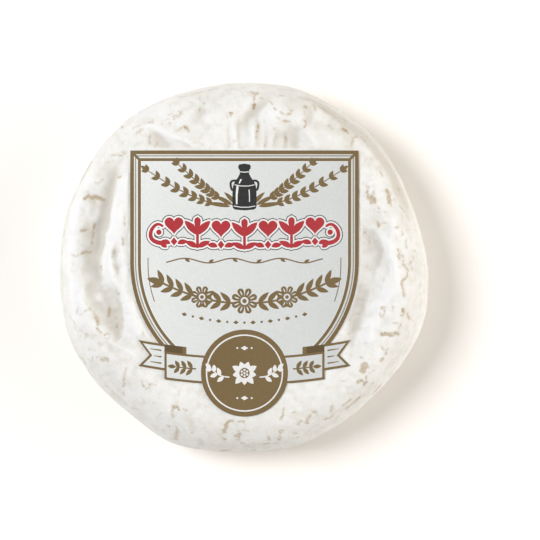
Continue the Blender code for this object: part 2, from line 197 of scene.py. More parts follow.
# Where the white bloom has rubbed off: a width, a strength and a line, in the drawing's units.
MARKS = (
    (3.2, 0.8, (84.5, 198.4), (87, 195.6), (90, 196.6), (92.4, 199.6)), (3.6, 0.8, (94.5, 197.6), (99, 197.8), (103.4, 199.6)),
    (2.6, 0.75, (118, 177.6), (120.4, 176.2)), (1.8, 0.45, (111, 155), (117, 154.6), (121, 155.6), (124, 153.4)),
    (2.0, 0.5, (122, 152), (126, 152.8)), (1.2, 0.3, (107, 162), (111, 160.6), (115, 162)),
    (2.0, 0.36, (95, 182.5), (99, 182.6), (103, 178.6)), (1.4, 0.35, (86, 190), (88.5, 194)), (1.2, 0.2, (93.5, 200), (93, 205)),
    (1.8, 0.6, (125.6, 213), (124.6, 218), (124.6, 226)), (2.2, 0.5, (123, 239), (122.8, 245)),
    (1.8, 0.6, (95, 223.5), (93.4, 228), (92.6, 234), (92.2, 239), (91, 244)), (2.8, 0.65, (81, 231.5), (83, 230.6), (85.6, 229.8)),
    (2.2, 0.6, (80, 254), (84, 252.6), (89.6, 251.8)), (1.4, 0.4, (71, 254), (76, 256.6), (80, 254)), (2.0, 0.5, (112.4, 252), (112.2, 257)),
    (2.4, 0.65, (101, 267), (101.3, 270)), (1.6, 0.3, (71, 269), (72, 271)), (2.2, 0.55, (117.6, 292), (118.8, 294)),
    (1.6, 0.3, (100.2, 290.5), (100.3, 293)), (2.8, 0.65, (108.6, 308.5), (109.2, 312), (108.4, 316)), (1.8, 0.4, (77, 308), (76.4, 313)),
    (1.8, 0.5, (84.5, 311), (89.6, 308.6), (93.6, 312.6)), (2.0, 0.5, (93.6, 312.6), (95.6, 315.6)), (3.0, 0.65, (96, 317), (97.4, 320), (97.6, 324)),
    (1.2, 0.3, (76, 315.5), (82, 314.6)), (1.4, 0.6, (96.6, 328), (99.6, 331.6), (104, 335.6)),
    (1.2, 0.55, (104, 335.6), (107, 333.8), (109.8, 336.4), (108.6, 338.6), (105.4, 337), (104, 335.6)),
    (1.6, 0.3, (116.4, 317), (116.2, 319)), (2.0, 0.5, (117.4, 324.6), (116.6, 327.4)), (1.6, 0.35, (68.6, 317), (74, 324)),
    (1.6, 0.4, (80, 330), (84, 334), (87.6, 336.4)), (1.2, 0.3, (87, 334), (84.6, 339)), (2.6, 0.3, (98.6, 343), (100, 346)),
    (1.8, 0.4, (91.8, 357), (92, 360)), (1.4, 0.35, (96.6, 357), (96.8, 359)), (3.0, 0.65, (101, 359.6), (104.4, 358.6), (107.6, 360)),
    (2.2, 0.45, (103, 360.4), (107, 360.6)), (3.2, 0.3, (143.4, 333), (144, 340)), (1.8, 0.4, (125.4, 369), (124.4, 378)),
    (2.4, 0.5, (124, 379), (123.4, 387)), (2.0, 0.45, (123, 389), (123, 396)), (1.8, 0.5, (141.4, 382), (143.4, 386.4), (146.4, 388.6)),
    (2.4, 0.6, (144.6, 387.4), (146.6, 388.8)), (2.2, 0.7, (150.2, 384.4), (150.8, 384.5)), (1.0, 0.35, (151, 384.5), (156, 385)),
    (1.0, 0.3, (146.4, 388.6), (151, 386)), (3.0, 0.65, (173, 407.4), (177, 406.6), (179, 408.4)), (1.8, 0.4, (172.6, 409), (171.8, 413), (173.4, 417)),
    (2.6, 0.35, (183.4, 409), (187, 410.6)), (2.4, 0.5, (168, 426.6), (169.4, 427.6)), (3.2, 0.38, (176.4, 428), (176.8, 434), (175.4, 441)),
    (5, 0.16, (190, 421), (192, 431)), (2.2, 0.4, (191, 430), (191.8, 433)), (1.2, 0.35, (101, 381.5), (108, 389), (115, 395.6), (126, 405.4)),
    (1.4, 0.4, (131, 408.6), (138, 410.4)), (1.2, 0.3, (150, 425), (157, 430.6), (165, 431.4)), (3.6, 0.65, (228, 422), (226, 427), (223.8, 432.6)),
    (2.2, 0.55, (228.4, 421.4), (233, 421)), (2.8, 0.5, (238.6, 421.8), (243.4, 421.2)), (2.8, 0.55, (223, 440), (225, 440.6)),
    (2.6, 0.5, (235, 436.4), (238, 434.6), (240.4, 434.8)), (2.2, 0.45, (238.6, 435), (238, 438)), (2.4, 0.5, (236.4, 441), (238.8, 441)),
    (2.2, 0.5, (241, 443.8), (244.4, 444.8)), (2.4, 0.55, (264.6, 445.2), (268.8, 444)), (1.2, 0.4, (269, 443.8), (278, 443.4)),
    (1.0, 0.25, (250, 444.4), (262, 444.6)), (2.4, 0.5, (268.6, 437.4), (269.4, 440.4)),
    (1.2, 0.5, (278, 437.6), (280, 436.6), (281, 438.6), (279.4, 440.4), (277.6, 439.6), (278, 437.6)),
    (1.2, 0.5, (280, 430.6), (282, 429.8), (283, 432), (281.4, 433.4), (279.6, 432.4), (280, 430.6)),
    (1.8, 0.5, (283.6, 408), (283.4, 410)), (2.0, 0.5, (283, 413), (282.4, 417), (281, 420)), (1.2, 0.4, (281, 420), (279.8, 418.6), (281.6, 416.6)),
    (2.4, 0.45, (293.4, 412.4), (295, 412)), (1.2, 0.4, (297, 422), (299.6, 421.4), (300, 423.8), (297.4, 424.8), (296.4, 423.4)),
    (2.0, 0.5, (308.6, 416.6), (307, 420), (305.4, 422.6)), (1.8, 0.45, (305.6, 422.4), (308, 423.4)), (2.0, 0.45, (293.6, 434.4), (296, 433.8)),
    (1.0, 0.4, (293.8, 439.6), (297, 437.6), (300, 437.8), (296.6, 439.8)), (1.4, 0.25, (242, 430), (249, 431)),
    (6.5, 0.55, (362.4, 370.4), (365, 365.8)), (4.4, 0.5, (366, 363.8), (363, 371.8)), (3.6, 0.6, (358.6, 381.6), (361.4, 381.4)),
    (3.6, 0.65, (364, 384.6), (366.6, 382.6)), (1.8, 0.5, (366.3, 375.6), (366.4, 380)), (3.6, 0.6, (381, 360.4), (382.8, 358.4)),
    (1.6, 0.4, (381.4, 347.8), (384, 349.4)), (1.6, 0.35, (387.4, 348.2), (388, 349.6)), (1.6, 0.5, (386.4, 350.6), (386.2, 353.4), (385.6, 356)),
    (2.0, 0.4, (360.6, 357.8), (361.6, 358)), (2.0, 0.45, (343.6, 381), (344.8, 380.6)), (1.2, 0.4, (376, 368.6), (372.6, 371.4), (369.4, 373)),
    (1.8, 0.55, (350.6, 400.2), (346.6, 403.4), (343, 406)), (2.4, 0.7, (347, 408.4), (349.4, 407.2)), (1.6, 0.55, (350, 406.8), (355, 402.8), (361, 397.8)),
    (1.6, 0.35, (371, 384.6), (373.6, 382.8)), (3.0, 0.4, (332.4, 406.2), (330.6, 411.6)), (2.4, 0.5, (333, 415.4), (330.6, 419.2)),
    (1.8, 0.45, (330.4, 419.4), (324.6, 420)), (2.2, 0.45, (313.4, 411.6), (316.4, 412.4)), (1.4, 0.35, (316.6, 413), (316.4, 415)),
    (2.2, 0.45, (310, 415.6), (308, 419)), (1.8, 0.45, (308, 419), (306, 423.4)), (1.8, 0.45, (320.4, 428.6), (323, 428)),
    (2, 0.25, (336.6, 419), (339.6, 416.6)), (2.2, 0.5, (300.6, 421.4), (301.4, 421.6)), (2.8, 0.55, (381.6, 307.4), (384, 306.6)),
    (1.4, 0.45, (384.2, 309), (383.8, 314), (381.4, 317.4), (380.4, 313.4), (381.6, 309)), (1.6, 0.35, (392.6, 306), (392.8, 308)),
    (1.2, 0.2, (393, 309), (393, 314)), (4.2, 0.6, (402.6, 309.6), (403.6, 312.6)), (2.2, 0.45, (401, 314.6), (402.4, 315.6)),
    (2.4, 0.55, (407.6, 314), (409.6, 318.8)), (3.6, 0.65, (381.6, 334), (390, 334.4), (398.6, 334)), (1.8, 0.4, (401.6, 323.2), (400, 326.4), (398.6, 330)),
    (1.4, 0.3, (393, 323), (398, 323.4)), (1.4, 0.3, (407.6, 337.6), (408.6, 338)), (5.5, 0.6, (371.6, 197), (371.4, 201.4)),
    (4.4, 0.65, (374, 199), (374.6, 201.6)), (2.2, 0.55, (367.6, 190.6), (366.8, 194), (368.6, 197)), (2.2, 0.4, (373.4, 191.4), (374, 194.6)),
    (1.8, 0.35, (365.6, 184.6), (367, 188)), (2.0, 0.35, (368.4, 186.6), (369.6, 187.4)), (1.6, 0.3, (373.4, 185.4), (373.4, 187)),
    (2.2, 0.3, (361.6, 183), (363, 184.4)), (4.0, 0.7, (388, 190.4), (388.6, 194)), (4.8, 0.68, (389.4, 196.6), (390.4, 202)),
    (2.2, 0.4, (391.6, 203.6), (391, 205)), (1.6, 0.35, (392.6, 197), (395, 200), (396, 203)), (2.4, 0.3, (399.6, 205.6), (403, 209), (406, 212)),
    (2.0, 0.3, (406, 212), (408, 216), (409.4, 220)), (2.6, 0.6, (377, 222.6), (378.6, 225.4)), (1.4, 0.3, (381, 224), (382, 224)),
    (1.6, 0.4, (378.4, 207), (378.8, 209)), (2.0, 0.4, (378.6, 212), (379.4, 213)), (1.8, 0.4, (395, 227.4), (397.4, 227.8), (398.8, 224.4)),
    (1.8, 0.3, (402, 232), (403.4, 234)), (1.6, 0.3, (406, 230), (409.6, 229)), (1.8, 0.3, (400.6, 236), (402, 235)), (1.6, 0.25, (411, 236), (412, 241)),
    (1.8, 0.35, (406.4, 239), (406, 244), (407.4, 248.6)), (1.6, 0.4, (415.4, 250), (415.8, 250.6)), (1.6, 0.35, (410.4, 256), (414.6, 257.4)),
    (1.8, 0.4, (409.6, 264.6), (412.4, 261)), (1.4, 0.35, (412.4, 267), (413.6, 272)), (1.8, 0.5, (398, 249.6), (399.6, 253.4), (398.4, 256), (399.6, 260)),
    (1.6, 0.4, (399.6, 254.6), (403, 256), (404, 260), (402.6, 264)), (2.4, 0.5, (402.6, 264), (405.6, 267), (408.4, 270)),
    (2.4, 0.5, (408.4, 270), (408, 275), (405, 279)), (2.6, 0.5, (405, 279), (402, 281.6), (401.6, 285)), (2.2, 0.45, (402, 285), (403.4, 290), (404, 296)),
    (1.4, 0.4, (399.4, 266), (399.8, 267)), (2.0, 0.5, (364.2, 232.4), (365, 233)), (1.4, 0.3, (369.6, 238), (369.2, 244)),
    (1.6, 0.25, (383.4, 279.6), (383.8, 281)), (3.6, 0.5, (253.6, 92), (257.6, 92.4)), (2.4, 0.45, (257.6, 92), (254.6, 96)),
    (1.8, 0.45, (254, 96), (253.8, 101)), (4.2, 0.75, (254, 104.4), (253.8, 107.4)), (2.0, 0.4, (259.4, 97.4), (263.4, 98.4)),
    (2.0, 0.35, (248.4, 91), (251.4, 90.6)), (1.2, 0.25, (262, 95), (261, 99)), (2.4, 0.35, (280.6, 94.6), (283.6, 95.4)),
    (1.2, 0.35, (270, 101.6), (272.6, 104)), (2.8, 0.5, (274.2, 108), (275.4, 108.8)), (1.8, 0.4, (281, 112.4), (284, 113.6)),
    (2.0, 0.5, (285.6, 114), (289.6, 113.8)), (2.2, 0.45, (291.4, 109), (291.6, 111)), (1.6, 0.3, (277, 117.4), (279.6, 118.4)),
    (2.4, 0.55, (284, 120.8), (288.6, 121.6)), (1.8, 0.4, (287, 121.6), (290, 121)), (4.2, 0.65, (305, 105.8), (306.4, 106.6)),
    (1.6, 0.25, (304.6, 109.4), (304.4, 114)), (1.8, 0.4, (313.6, 103.4), (314.8, 106), (315.6, 111)),
    (1.8, 0.45, (303.4, 120.2), (305.6, 120.8), (305.4, 123.4), (304, 127)), (2.0, 0.6, (258.2, 123.6), (257.6, 130), (256.2, 137.6)),
    (1.6, 0.4, (274.2, 128.4), (274.6, 129)), (1.6, 0.35, (276.2, 137.4), (276.4, 139.6)), (1.8, 0.5, (285.6, 136.6), (286.4, 140.4)),
    (1.8, 0.6, (264.8, 145.4), (265.4, 150.2)), (1.6, 0.5, (284.8, 147.8), (285, 150.2)), (1.6, 0.5, (255.2, 147.4), (255.4, 150)),
    (2.2, 0.25, (329, 125), (332.4, 128.6)), (4.6, 0.85, (344, 129), (346, 130)), (2.8, 0.7, (346.6, 130.6), (348.6, 132.4)),
    (2.0, 0.4, (342, 117.4), (346, 119.4)), (1.6, 0.35, (338.6, 119.8), (341.4, 121)), (2.4, 0.35, (352.6, 137.4), (357.4, 135.6)),
    (2.2, 0.35, (354, 138), (352, 142.6), (350.8, 149.4)), (2.2, 0.45, (361.2, 136.4), (365.4, 140.4)), (1.4, 0.35, (359.4, 146), (359.6, 147)),
    (3.6, 0.22, (320.6, 106), (328, 110.6), (337, 117)), (1.2, 0.3, (298, 96.6), (304, 98), (310, 99.4)), (1, 0.35, (286, 87.8), (300, 90)),
    (2.4, 0.22, (371, 158), (374, 160.6)), (1.8, 0.4, (380.6, 171.4), (382.6, 175.4)), (1.6, 0.45, (398.8, 188.4), (399.4, 189.2)),
    (1.4, 0.45, (178.6, 94.8), (186, 95.4)), (1.0, 0.5, (190, 93), (204, 89.6), (218, 86.4)), (1.2, 0.4, (157.6, 102), (161, 101)),
    (1.8, 0.45, (182, 109.4), (180.6, 112), (178.4, 111)), (2.6, 0.35, (173.4, 116), (176.4, 115)), (2.0, 0.35, (168.8, 114.8), (172, 113.4)),
    (1.8, 0.4, (173, 119), (176.6, 117)), (1.6, 0.35, (168.6, 122.4), (171, 123)), (1.6, 0.3, (178.6, 117), (180, 114)),
    (2.0, 0.45, (199.4, 108.2), (199.6, 110)), (2.0, 0.5, (202.6, 102.4), (203.6, 103)), (1.6, 0.3, (200, 95), (202, 94.6)),
    (3.4, 0.75, (184.8, 127.6), (187.2, 129)), (2.0, 0.6, (184, 126.4), (188.4, 130.4)), (1.4, 0.5, (176.4, 131.2), (180, 129), (183.6, 126.8)),
    (2.6, 0.65, (229, 113), (232, 113.2)), (1.6, 0.5, (230.6, 113), (230.8, 115)), (2.2, 0.55, (149.8, 134.6), (149.4, 139.6), (150, 143.6)),
    (1.8, 0.5, (157.2, 142.4), (156, 146), (155.6, 150)), (1.8, 0.45, (147.4, 122.4), (150.6, 121.6), (153, 122.4)),
    (1.4, 0.35, (152.4, 119.6), (153.4, 121)), (1.6, 0.4, (132.8, 127.4), (136, 126), (139.4, 124.6)), (2.8, 0.35, (136.6, 132.6), (142, 128.8)),
    (1.2, 0.5, (136, 134), (142.4, 129)), (1.8, 0.5, (121.6, 152.6), (124, 154), (126.4, 152.4)), (1.8, 0.3, (119.6, 144.4), (123, 141.6)),
    (1.2, 0.35, (160.6, 124), (162, 123.6)), (1.6, 0.3, (165, 120), (168, 118)),
)  # fmt: skip

# ---------------------------------------------------------------- form shared with the solid


def outline_radius(angle):
    """Radius in metres at an angle in radians, a smooth closed curve through OUTLINE."""
    at = np.array([a for a, _ in OUTLINE], float)
    size = np.array([r for _, r in OUTLINE], float) / 1000
    n = len(at)
    at = np.concatenate([at - 360, at, at + 360])
    size = np.tile(size, 3)
    slope = (np.roll(size, -1) - np.roll(size, 1)) / (
        (np.roll(at, -1) - np.roll(at, 1)) % 360
    )
    a = np.degrees(np.asarray(angle, float)) % 360
    i = np.clip(np.searchsorted(at, a, side="right") - 1, n - 1, 2 * n)
    step = at[i + 1] - at[i]
    t = (a - at[i]) / step
    return (
        size[i] * (1 + 2 * t) * (1 - t) ** 2
        + slope[i] * step * t * (1 - t) ** 2
        + size[i + 1] * t * t * (3 - 2 * t)
        + slope[i + 1] * step * t * t * (t - 1)
    )


def fold(x, y, line, right, left, power):
    """Height of one fold, in mm, at points of the drawing."""
    result = np.zeros(x.shape)
    reach = max(right, left) * (3.8 if power < 1.7 else 2.9)
    xs, ys = [p[0] for p in line], [p[1] for p in line]
    near = (x > min(xs) - reach) & (x < max(xs) + reach)
    near &= (y > min(ys) - reach) & (y < max(ys) + reach)
    x, y = x[near], y[near]
    best = np.full(x.shape, 1e9)
    height = np.zeros(x.shape)
    for (x0, y0, h0), (x1, y1, h1) in zip(line, line[1:]):
        dx, dy = x1 - x0, y0 - y1
        length = math.hypot(dx, dy)
        px, py = x - x0, y0 - y
        t = np.clip((px * dx + py * dy) / length**2, 0, 1)
        ox, oy = px - t * dx, py - t * dy
        away = np.hypot(ox, oy)
        side = dx * py - dy * px > 0
        here = away < best
        best = np.where(here, away, best)
        width = np.where(side, left, right)
        t = t * t * (3 - 2 * t) * 0.5 + t * 0.5
        value = (h0 + (h1 - h0) * t) * np.exp(-((away / width) ** power))
        height = np.where(here, value, height)
    result[near] = height
    return result


LATTICE = np.random.default_rng(5).uniform(-1, 1, (5, 64, 64))


def ripple(x, y, size, k):
    """Smooth noise from -1 to 1 over the drawing, with features of that size."""
    u, v = np.asarray(x, float) / size, np.asarray(y, float) / size
    i, j = np.floor(u).astype(int), np.floor(v).astype(int)
    a, b = smooth(u - i), smooth(v - j)
    i, j, i1, j1 = i % 64, j % 64, (i + 1) % 64, (j + 1) % 64
    grid = LATTICE[k]
    return (1 - b) * ((1 - a) * grid[i, j] + a * grid[i1, j]) + b * ((1 - a) * grid[i, j1] + a * grid[i1, j1])


def smooth(t):
    t = np.clip(t, 0, 1)
    return t * t * (3 - 2 * t)


def shield_half(y, inset=0.0):
    """Half the shield's width at a height of the drawing."""
    r = SHIELD_ARC_R - inset
    down = np.clip(y - SHIELD_ARC_AT, 0, r)
    return SHIELD_HALF - SHIELD_ARC_R + np.sqrt(r**2 - down**2)


def label_depth(x, y):
    """How far a point of the drawing is inside the label's outline; less than 0 outside it."""
    across = np.abs(x - LABEL_X)
    shield = np.minimum(shield_half(y) - across, y - SHIELD_TOP)
    seal = SEAL_R - np.hypot(x - LABEL_X, y - SEAL_AT)
    level = y + RIBBON_BEND * across**2
    ribbon = np.minimum(
        RIBBON_TAIL[2] - across,
        np.minimum(level - RIBBON_TAIL[0], RIBBON_BAND[1] - level),
    )
    return np.maximum(np.maximum(shield, seal), ribbon)


def top_relief(px, py):
    """Height of the dish, the folds and the creases, in metres, at points in metres."""
    x, y = px / UNIT + CENTRE[0], CENTRE[1] - py / UNIT
    depth = label_depth(x, y)
    broad = sum(fold(x, y, *f) for f in FOLDS) * (
        BROAD_GAIN - (BROAD_GAIN - LABEL_CALM) * smooth((depth + 3) / 11)
    )
    # the creases wander a little and come and go
    wx = x + 1.9 * ripple(x, y, 13.0, 0) + 0.7 * ripple(x, y, 4.5, 1)
    wy = y + 1.9 * ripple(x, y, 13.0, 2) + 0.7 * ripple(x, y, 4.5, 3)
    fine = sum(fold(wx, wy, *f) for f in CREASES) * (1 - 0.97 * smooth((depth + 4.6) / 4.6))
    fine *= 1 + 0.25 * ripple(x, y, 9.0, 4)
    dish = DISH_DEPTH * (1 - smooth(np.hypot(px, py) / DISH_RADIUS))
    return (broad + fine) / 1000 - dish


def body_point(angle, share, level):
    """A point at a share of the outline's radius; level is its height before the relief."""
    r = outline_radius(angle) * share
    x, y = r * np.cos(angle), r * np.sin(angle)
    fade = smooth((level - BULGE_AT) / (HEIGHT - BULGE_AT) * 1.25)
    return x, y, level + top_relief(x, y) * fade


def top_level(share):
    """Height of the plain top face, with its rounded edge, at a share of the radius."""
    t = np.clip((share - 1 + TOP_ROUND) / TOP_ROUND, 0, 1)
    return BULGE_AT + (HEIGHT - BULGE_AT) * (1 - t**TOP_POWER) ** (1 / TOP_POWER)


def top_height(x, y):
    """Height of the finished top face at points in metres."""
    angle = np.arctan2(y, x)
    share = np.hypot(x, y) / outline_radius(angle)
    level = top_level(share)
    fade = smooth((level - BULGE_AT) / (HEIGHT - BULGE_AT) * 1.25)
    return level + top_relief(x, y) * fade


def to_metres(x, y):
    return (x - CENTRE[0]) * UNIT, (CENTRE[1] - y) * UNIT


# ---------------------------------------------------------------- materials


class Paint:
    """A material whose nodes are added one by one; inputs are numbers, colours or sockets."""

    def __init__(self, name, **shader):
        self.material = bpy.data.materials.new(name)
        self.material.use_nodes = True
        self.tree = self.material.node_tree
        self.shader = self.tree.nodes["Principled BSDF"]
        for key, value in shader.items():
            self.put(self.shader, key.replace("_", " "), value)
        self.where = self.add("ShaderNodeTexCoord").outputs["Object"]

    def put(self, node, key, value):
        socket = node.inputs[key]
        if isinstance(value, bpy.types.NodeSocket):
            self.tree.links.new(value, socket)
        elif isinstance(value, tuple) and socket.type == "RGBA":
            socket.default_value = (*value, 1)
        else:
            socket.default_value = value

    def add(self, kind, settings=(), **inputs):
        node = self.tree.nodes.new(kind)
        for key, value in dict(settings).items():
            setattr(node, key, value)
        for key, value in inputs.items():
            self.put(node, int(key[1:]) if key[1:].isdigit() else key.replace("_", " "), value)
        return node

    def noise(self, size, detail=2.0, roughness=0.5, stretch=(1, 1, 1), **more):
        """Noise from about 0 to 1 with features of that size in metres."""
        scaled = self.add(
            "ShaderNodeVectorMath", {"operation": "MULTIPLY"}, i0=self.where, i1=tuple(stretch)
        ).outputs[0]
        return self.add(
            "ShaderNodeTexNoise", Vector=scaled, Scale=1 / size, Detail=detail,
            Roughness=roughness, **more,
        ).outputs["Fac"]

    def math(self, operation, a, b=0.0, clamp=False):
        return self.add(
            "ShaderNodeMath", {"operation": operation, "use_clamp": clamp}, i0=a, i1=b
        ).outputs[0]

    def span(self, value, low, high, to_low=0.0, to_high=1.0, soft=True):
        return self.add(
            "ShaderNodeMapRange", {"interpolation_type": "SMOOTHSTEP" if soft else "LINEAR"},
            Value=value, From_Min=low, From_Max=high, To_Min=to_low, To_Max=to_high,
        ).outputs["Result"]

    def mix(self, share, a, b):
        node = self.add("ShaderNodeMix", {"data_type": "RGBA"})
        self.put(node, 0, share)
        self.put(node, 6, a)
        self.put(node, 7, b)
        return node.outputs[2]

    def attribute(self, name):
        return self.add("ShaderNodeAttribute", {"attribute_name": name}).outputs["Fac"]

    def bump(self, height, strength, distance):
        node = self.add("ShaderNodeBump", Strength=strength, Distance=distance, Height=height)
        self.put(self.shader, "Normal", node.outputs["Normal"])


def rind_paint():
    paint = Paint(
        "rind_bloom", Roughness=0.78, Specular_IOR_Level=0.25, Sheen_Weight=0.25,
        Sheen_Roughness=0.45, Subsurface_Weight=0.12, Subsurface_Radius=(1.0, 0.72, 0.5),
        Subsurface_Scale=0.0016,
    )
    # thicker and thinner bloom in clouds, with a finer mottling and faint warm and cool tints
    clouds = paint.noise(0.011, 3, 0.55)
    mottle = paint.noise(0.0024, 5, 0.66)
    colour = paint.mix(paint.span(clouds, 0.35, 0.68), (0.738, 0.722, 0.676), (0.787, 0.779, 0.742))
    colour = paint.mix(paint.span(paint.noise(0.0072, 2), 0.52, 0.72, 0.0, 0.5), colour, (0.77, 0.742, 0.705))
    colour = paint.mix(paint.span(paint.noise(0.0085, 2, 0.5, (1, 1.3, 1)), 0.52, 0.72, 0.0, 0.5), colour, (0.715, 0.715, 0.675))
    colour = paint.mix(paint.span(mottle, 0.50, 0.34, 0.0, 0.55), colour, (0.655, 0.622, 0.545))
    colour = paint.mix(paint.span(mottle, 0.50, 0.68, 0.0, 0.6), colour, (0.82, 0.815, 0.795))
    # painted shading: the folds get a whiter colour as a painted highlight, and the hollows a darker cream as painted
    # shade
    painted_shading = paint.attribute("painted_shading")
    colour = paint.mix(paint.span(painted_shading, 0.5, 0.1, 0.0, 0.75), colour, (0.83, 0.827, 0.815))
    colour = paint.mix(paint.span(painted_shading, 0.5, 1.0, 0.0, 0.85), colour, (0.585, 0.547, 0.475))
    # the rubbed marks, with uneven edges, a pale margin and an ochre middle
    ragged = paint.math("MULTIPLY", paint.math("SUBTRACT", paint.noise(0.0010, 4, 0.7), 0.5), 1.5)
    depth = paint.math("ADD", paint.attribute("mark_depth"), ragged)
    tone = paint.attribute("mark_tone")
    worn = paint.math("MULTIPLY", paint.span(depth, -0.14, 0.12), tone)
    margin = paint.math("MULTIPLY", paint.span(depth, -0.75, 0.0), paint.math("MULTIPLY", tone, 0.3))
    blotch = paint.span(paint.noise(0.0007, 3, 0.65), 0.3, 0.65, 0.54, 1.05)
    worn = paint.math("MULTIPLY", worn, blotch, clamp=True)
    colour = paint.mix(margin, colour, (0.57, 0.48, 0.35))
    tan = paint.mix(paint.span(paint.noise(0.003, 2), 0.35, 0.65), (0.385, 0.275, 0.14), (0.44, 0.335, 0.205))
    colour = paint.mix(worn, colour, tan)
    paint.put(paint.shader, "Base Color", colour)
    fibres = paint.noise(0.00042, 3, 0.6)
    grains = paint.noise(0.0013, 3, 0.55)
    height = paint.math("ADD", paint.math("MULTIPLY", fibres, 0.45), grains)
    height = paint.math("SUBTRACT", height, paint.math("MULTIPLY", worn, 0.8))
    paint.bump(height, 0.5, 0.00016)
    paint.put(paint.shader, "Roughness", paint.span(worn, 0.0, 1.0, 0.80, 0.58, soft=False))
    return paint.material


def paper_paint(name, dark, light, rough, shine=0.4):
    """One ink, or the bare paper, with the same mottling and tooth all over the sheet."""
    paint = Paint(name, Roughness=rough, Specular_IOR_Level=shine)
    mottle = paint.noise(0.0007, 3, 0.65)
    clouds = paint.noise(0.012, 2)
    both = paint.math("ADD", paint.math("MULTIPLY", mottle, 0.7), paint.math("MULTIPLY", clouds, 0.3))
    colour = paint.mix(paint.span(both, 0.36, 0.64), dark, light)
    # painted shade: the light inks and the silvery ground are darkened towards the right and the bottom, as light falls
    # off across the sheet
    if dark[0] > 0.5:  # the silvery ground is lighter at its upper left
        apart = paint.add("ShaderNodeSeparateXYZ", Vector=paint.where)
        across = paint.math("SUBTRACT", apart.outputs["X"], paint.math("MULTIPLY", apart.outputs["Y"], 0.25))
        colour = paint.mix(paint.span(across, -0.034, 0.036, 0.0, 0.2, soft=False), colour, (0.0, 0.0, 0.0))
    paint.put(paint.shader, "Base Color", colour)
    paint.put(paint.shader, "Roughness", paint.span(mottle, 0.3, 0.7, rough - 0.05, rough + 0.06))
    paint.bump(paint.noise(0.00035, 2), 0.25, 0.00003)
    return paint.material


# ---------------------------------------------------------------- the cheese


def profile():
    """The turned profile from the top's flat part to the base, as share of the radius and level,
    with the length along it in metres at the mean radius."""
    a = np.linspace(0, math.pi / 2, 900)
    s, c = np.sin(a), np.cos(a)
    share = np.concatenate([
        [0.5],
        1 - TOP_ROUND + TOP_ROUND * s ** (2 / TOP_POWER),
        1 - BASE_ROUND + BASE_ROUND * c[1:] ** (2 / BASE_POWER),
    ])
    level = np.concatenate([
        [HEIGHT],
        BULGE_AT + (HEIGHT - BULGE_AT) * c ** (2 / TOP_POWER),
        BULGE_AT * (1 - s[1:] ** (2 / BASE_POWER)),
    ])
    level[-1], share[-1] = 0.0, 1 - BASE_ROUND
    length = np.concatenate([[0], np.cumsum(np.hypot(np.diff(share) * 0.0555, np.diff(level)))])
    return share, level, length


def cheese_rings():
    """Share, level and number of points of each ring, from the middle of the top to the base's."""
    share, level, length = profile()
    total = length[-1]
    fine_to = 0.0315
    fine = np.linspace(0, fine_to, 79)
    side = np.linspace(fine_to, total, 50)[1:]
    found = [(s, HEIGHT, 110) for s in (0.03, 0.07)]
    found += [(s, HEIGHT, 220) for s in np.linspace(0.11, 0.45, 9)]
    found += [(s, HEIGHT, 440) for s in (0.465, 0.48)]
    for where, count in ((fine, 880), (side, 440)):
        found += [
            (float(np.interp(w, length, share)), float(np.interp(w, length, level)), count)
            for w in where
        ]
    found += [(s, 0.0, 220) for s in np.linspace(1 - BASE_ROUND - 0.022, 0.3, 18)]
    found += [(s, 0.0, 110) for s in (0.22, 0.12)]
    return found


def ring_faces(upper, lower):
    """Faces between two rings of vertex numbers, where one may have twice the other's count."""
    n, m = len(upper), len(lower)
    if n == m:
        return [
            (upper[i], lower[i], lower[(i + 1) % n], upper[(i + 1) % n]) for i in range(n)
        ]
    faces = []
    if n < m:
        for i in range(n):
            j, k, l = 2 * i, 2 * i + 1, (2 * i + 2) % m
            a, b = upper[i], upper[(i + 1) % n]
            faces += [(a, lower[j], lower[k]), (a, lower[k], b), (b, lower[k], lower[l])]
    else:
        for i in range(m):
            j, k, l = 2 * i, 2 * i + 1, (2 * i + 2) % n
            a, b = lower[i], lower[(i + 1) % m]
            faces += [(upper[j], a, upper[k]), (upper[k], a, b), (upper[k], b, upper[l])]
    return faces


def grain(points, size, shift=0.0):
    """Smooth noise from about -1 to 1, with features of that size in metres."""
    return np.array([noise.noise((x, y, z)) for x, y, z in points / size + shift])


def side_marks(rng):
    """Rubbed marks on the side and the base, which the drawing doesn't reach, as 3-D segments in
    metres with a width in metres and a strength."""
    share, level, length = profile()
    total = length[-1]
    found = []

    def at(angle, along):
        s, l = np.interp(along, length, share), np.interp(along, length, level)
        p = body_point(np.array([angle]), np.array([s]), np.array([l]))
        return tuple(float(c[0]) for c in p)

    for _ in range(150):
        angle = rng.uniform(0, 2 * math.pi)
        along = rng.uniform(0.030, total + 0.0005)
        if rng.random() < 0.35:  # more of them at the lower edge
            along = rng.uniform(total - 0.008, total)
        size = rng.uniform(0.0003, 0.0036) if rng.random() < 0.75 else rng.uniform(0.003, 0.007)
        level_run = rng.random() < 0.62
        a = at(angle, along)
        tilt = rng.uniform(-0.25, 0.25)
        if level_run:
            b = at(angle + size / 0.055, along + size * tilt)
        else:
            b = at(angle + size * tilt / 0.055, along + size * 0.8)
        found.append((a, b, rng.uniform(0.0004, 0.0011), rng.uniform(0.3, 0.75)))
    # the base keeps the pattern of the mat that it dried on
    for _ in range(110):
        r, t = 0.046 * math.sqrt(rng.random()), rng.uniform(0, 2 * math.pi)
        x, y = r * math.cos(t), r * math.sin(t)
        if rng.random() < 0.5:
            y = round(y / 0.0062) * 0.0062 + rng.uniform(-0.0003, 0.0003)
            dx, dy = rng.uniform(0.0006, 0.005), rng.uniform(-0.0002, 0.0002)
        else:
            x = round(x / 0.0062) * 0.0062 + rng.uniform(-0.0003, 0.0003)
            dx, dy = rng.uniform(-0.0002, 0.0002), rng.uniform(0.0006, 0.005)
        found.append(
            ((x, y, 0.0), (x + dx, y + dy, 0.0), rng.uniform(0.0004, 0.0012), rng.uniform(0.3, 0.7))
        )
    return found


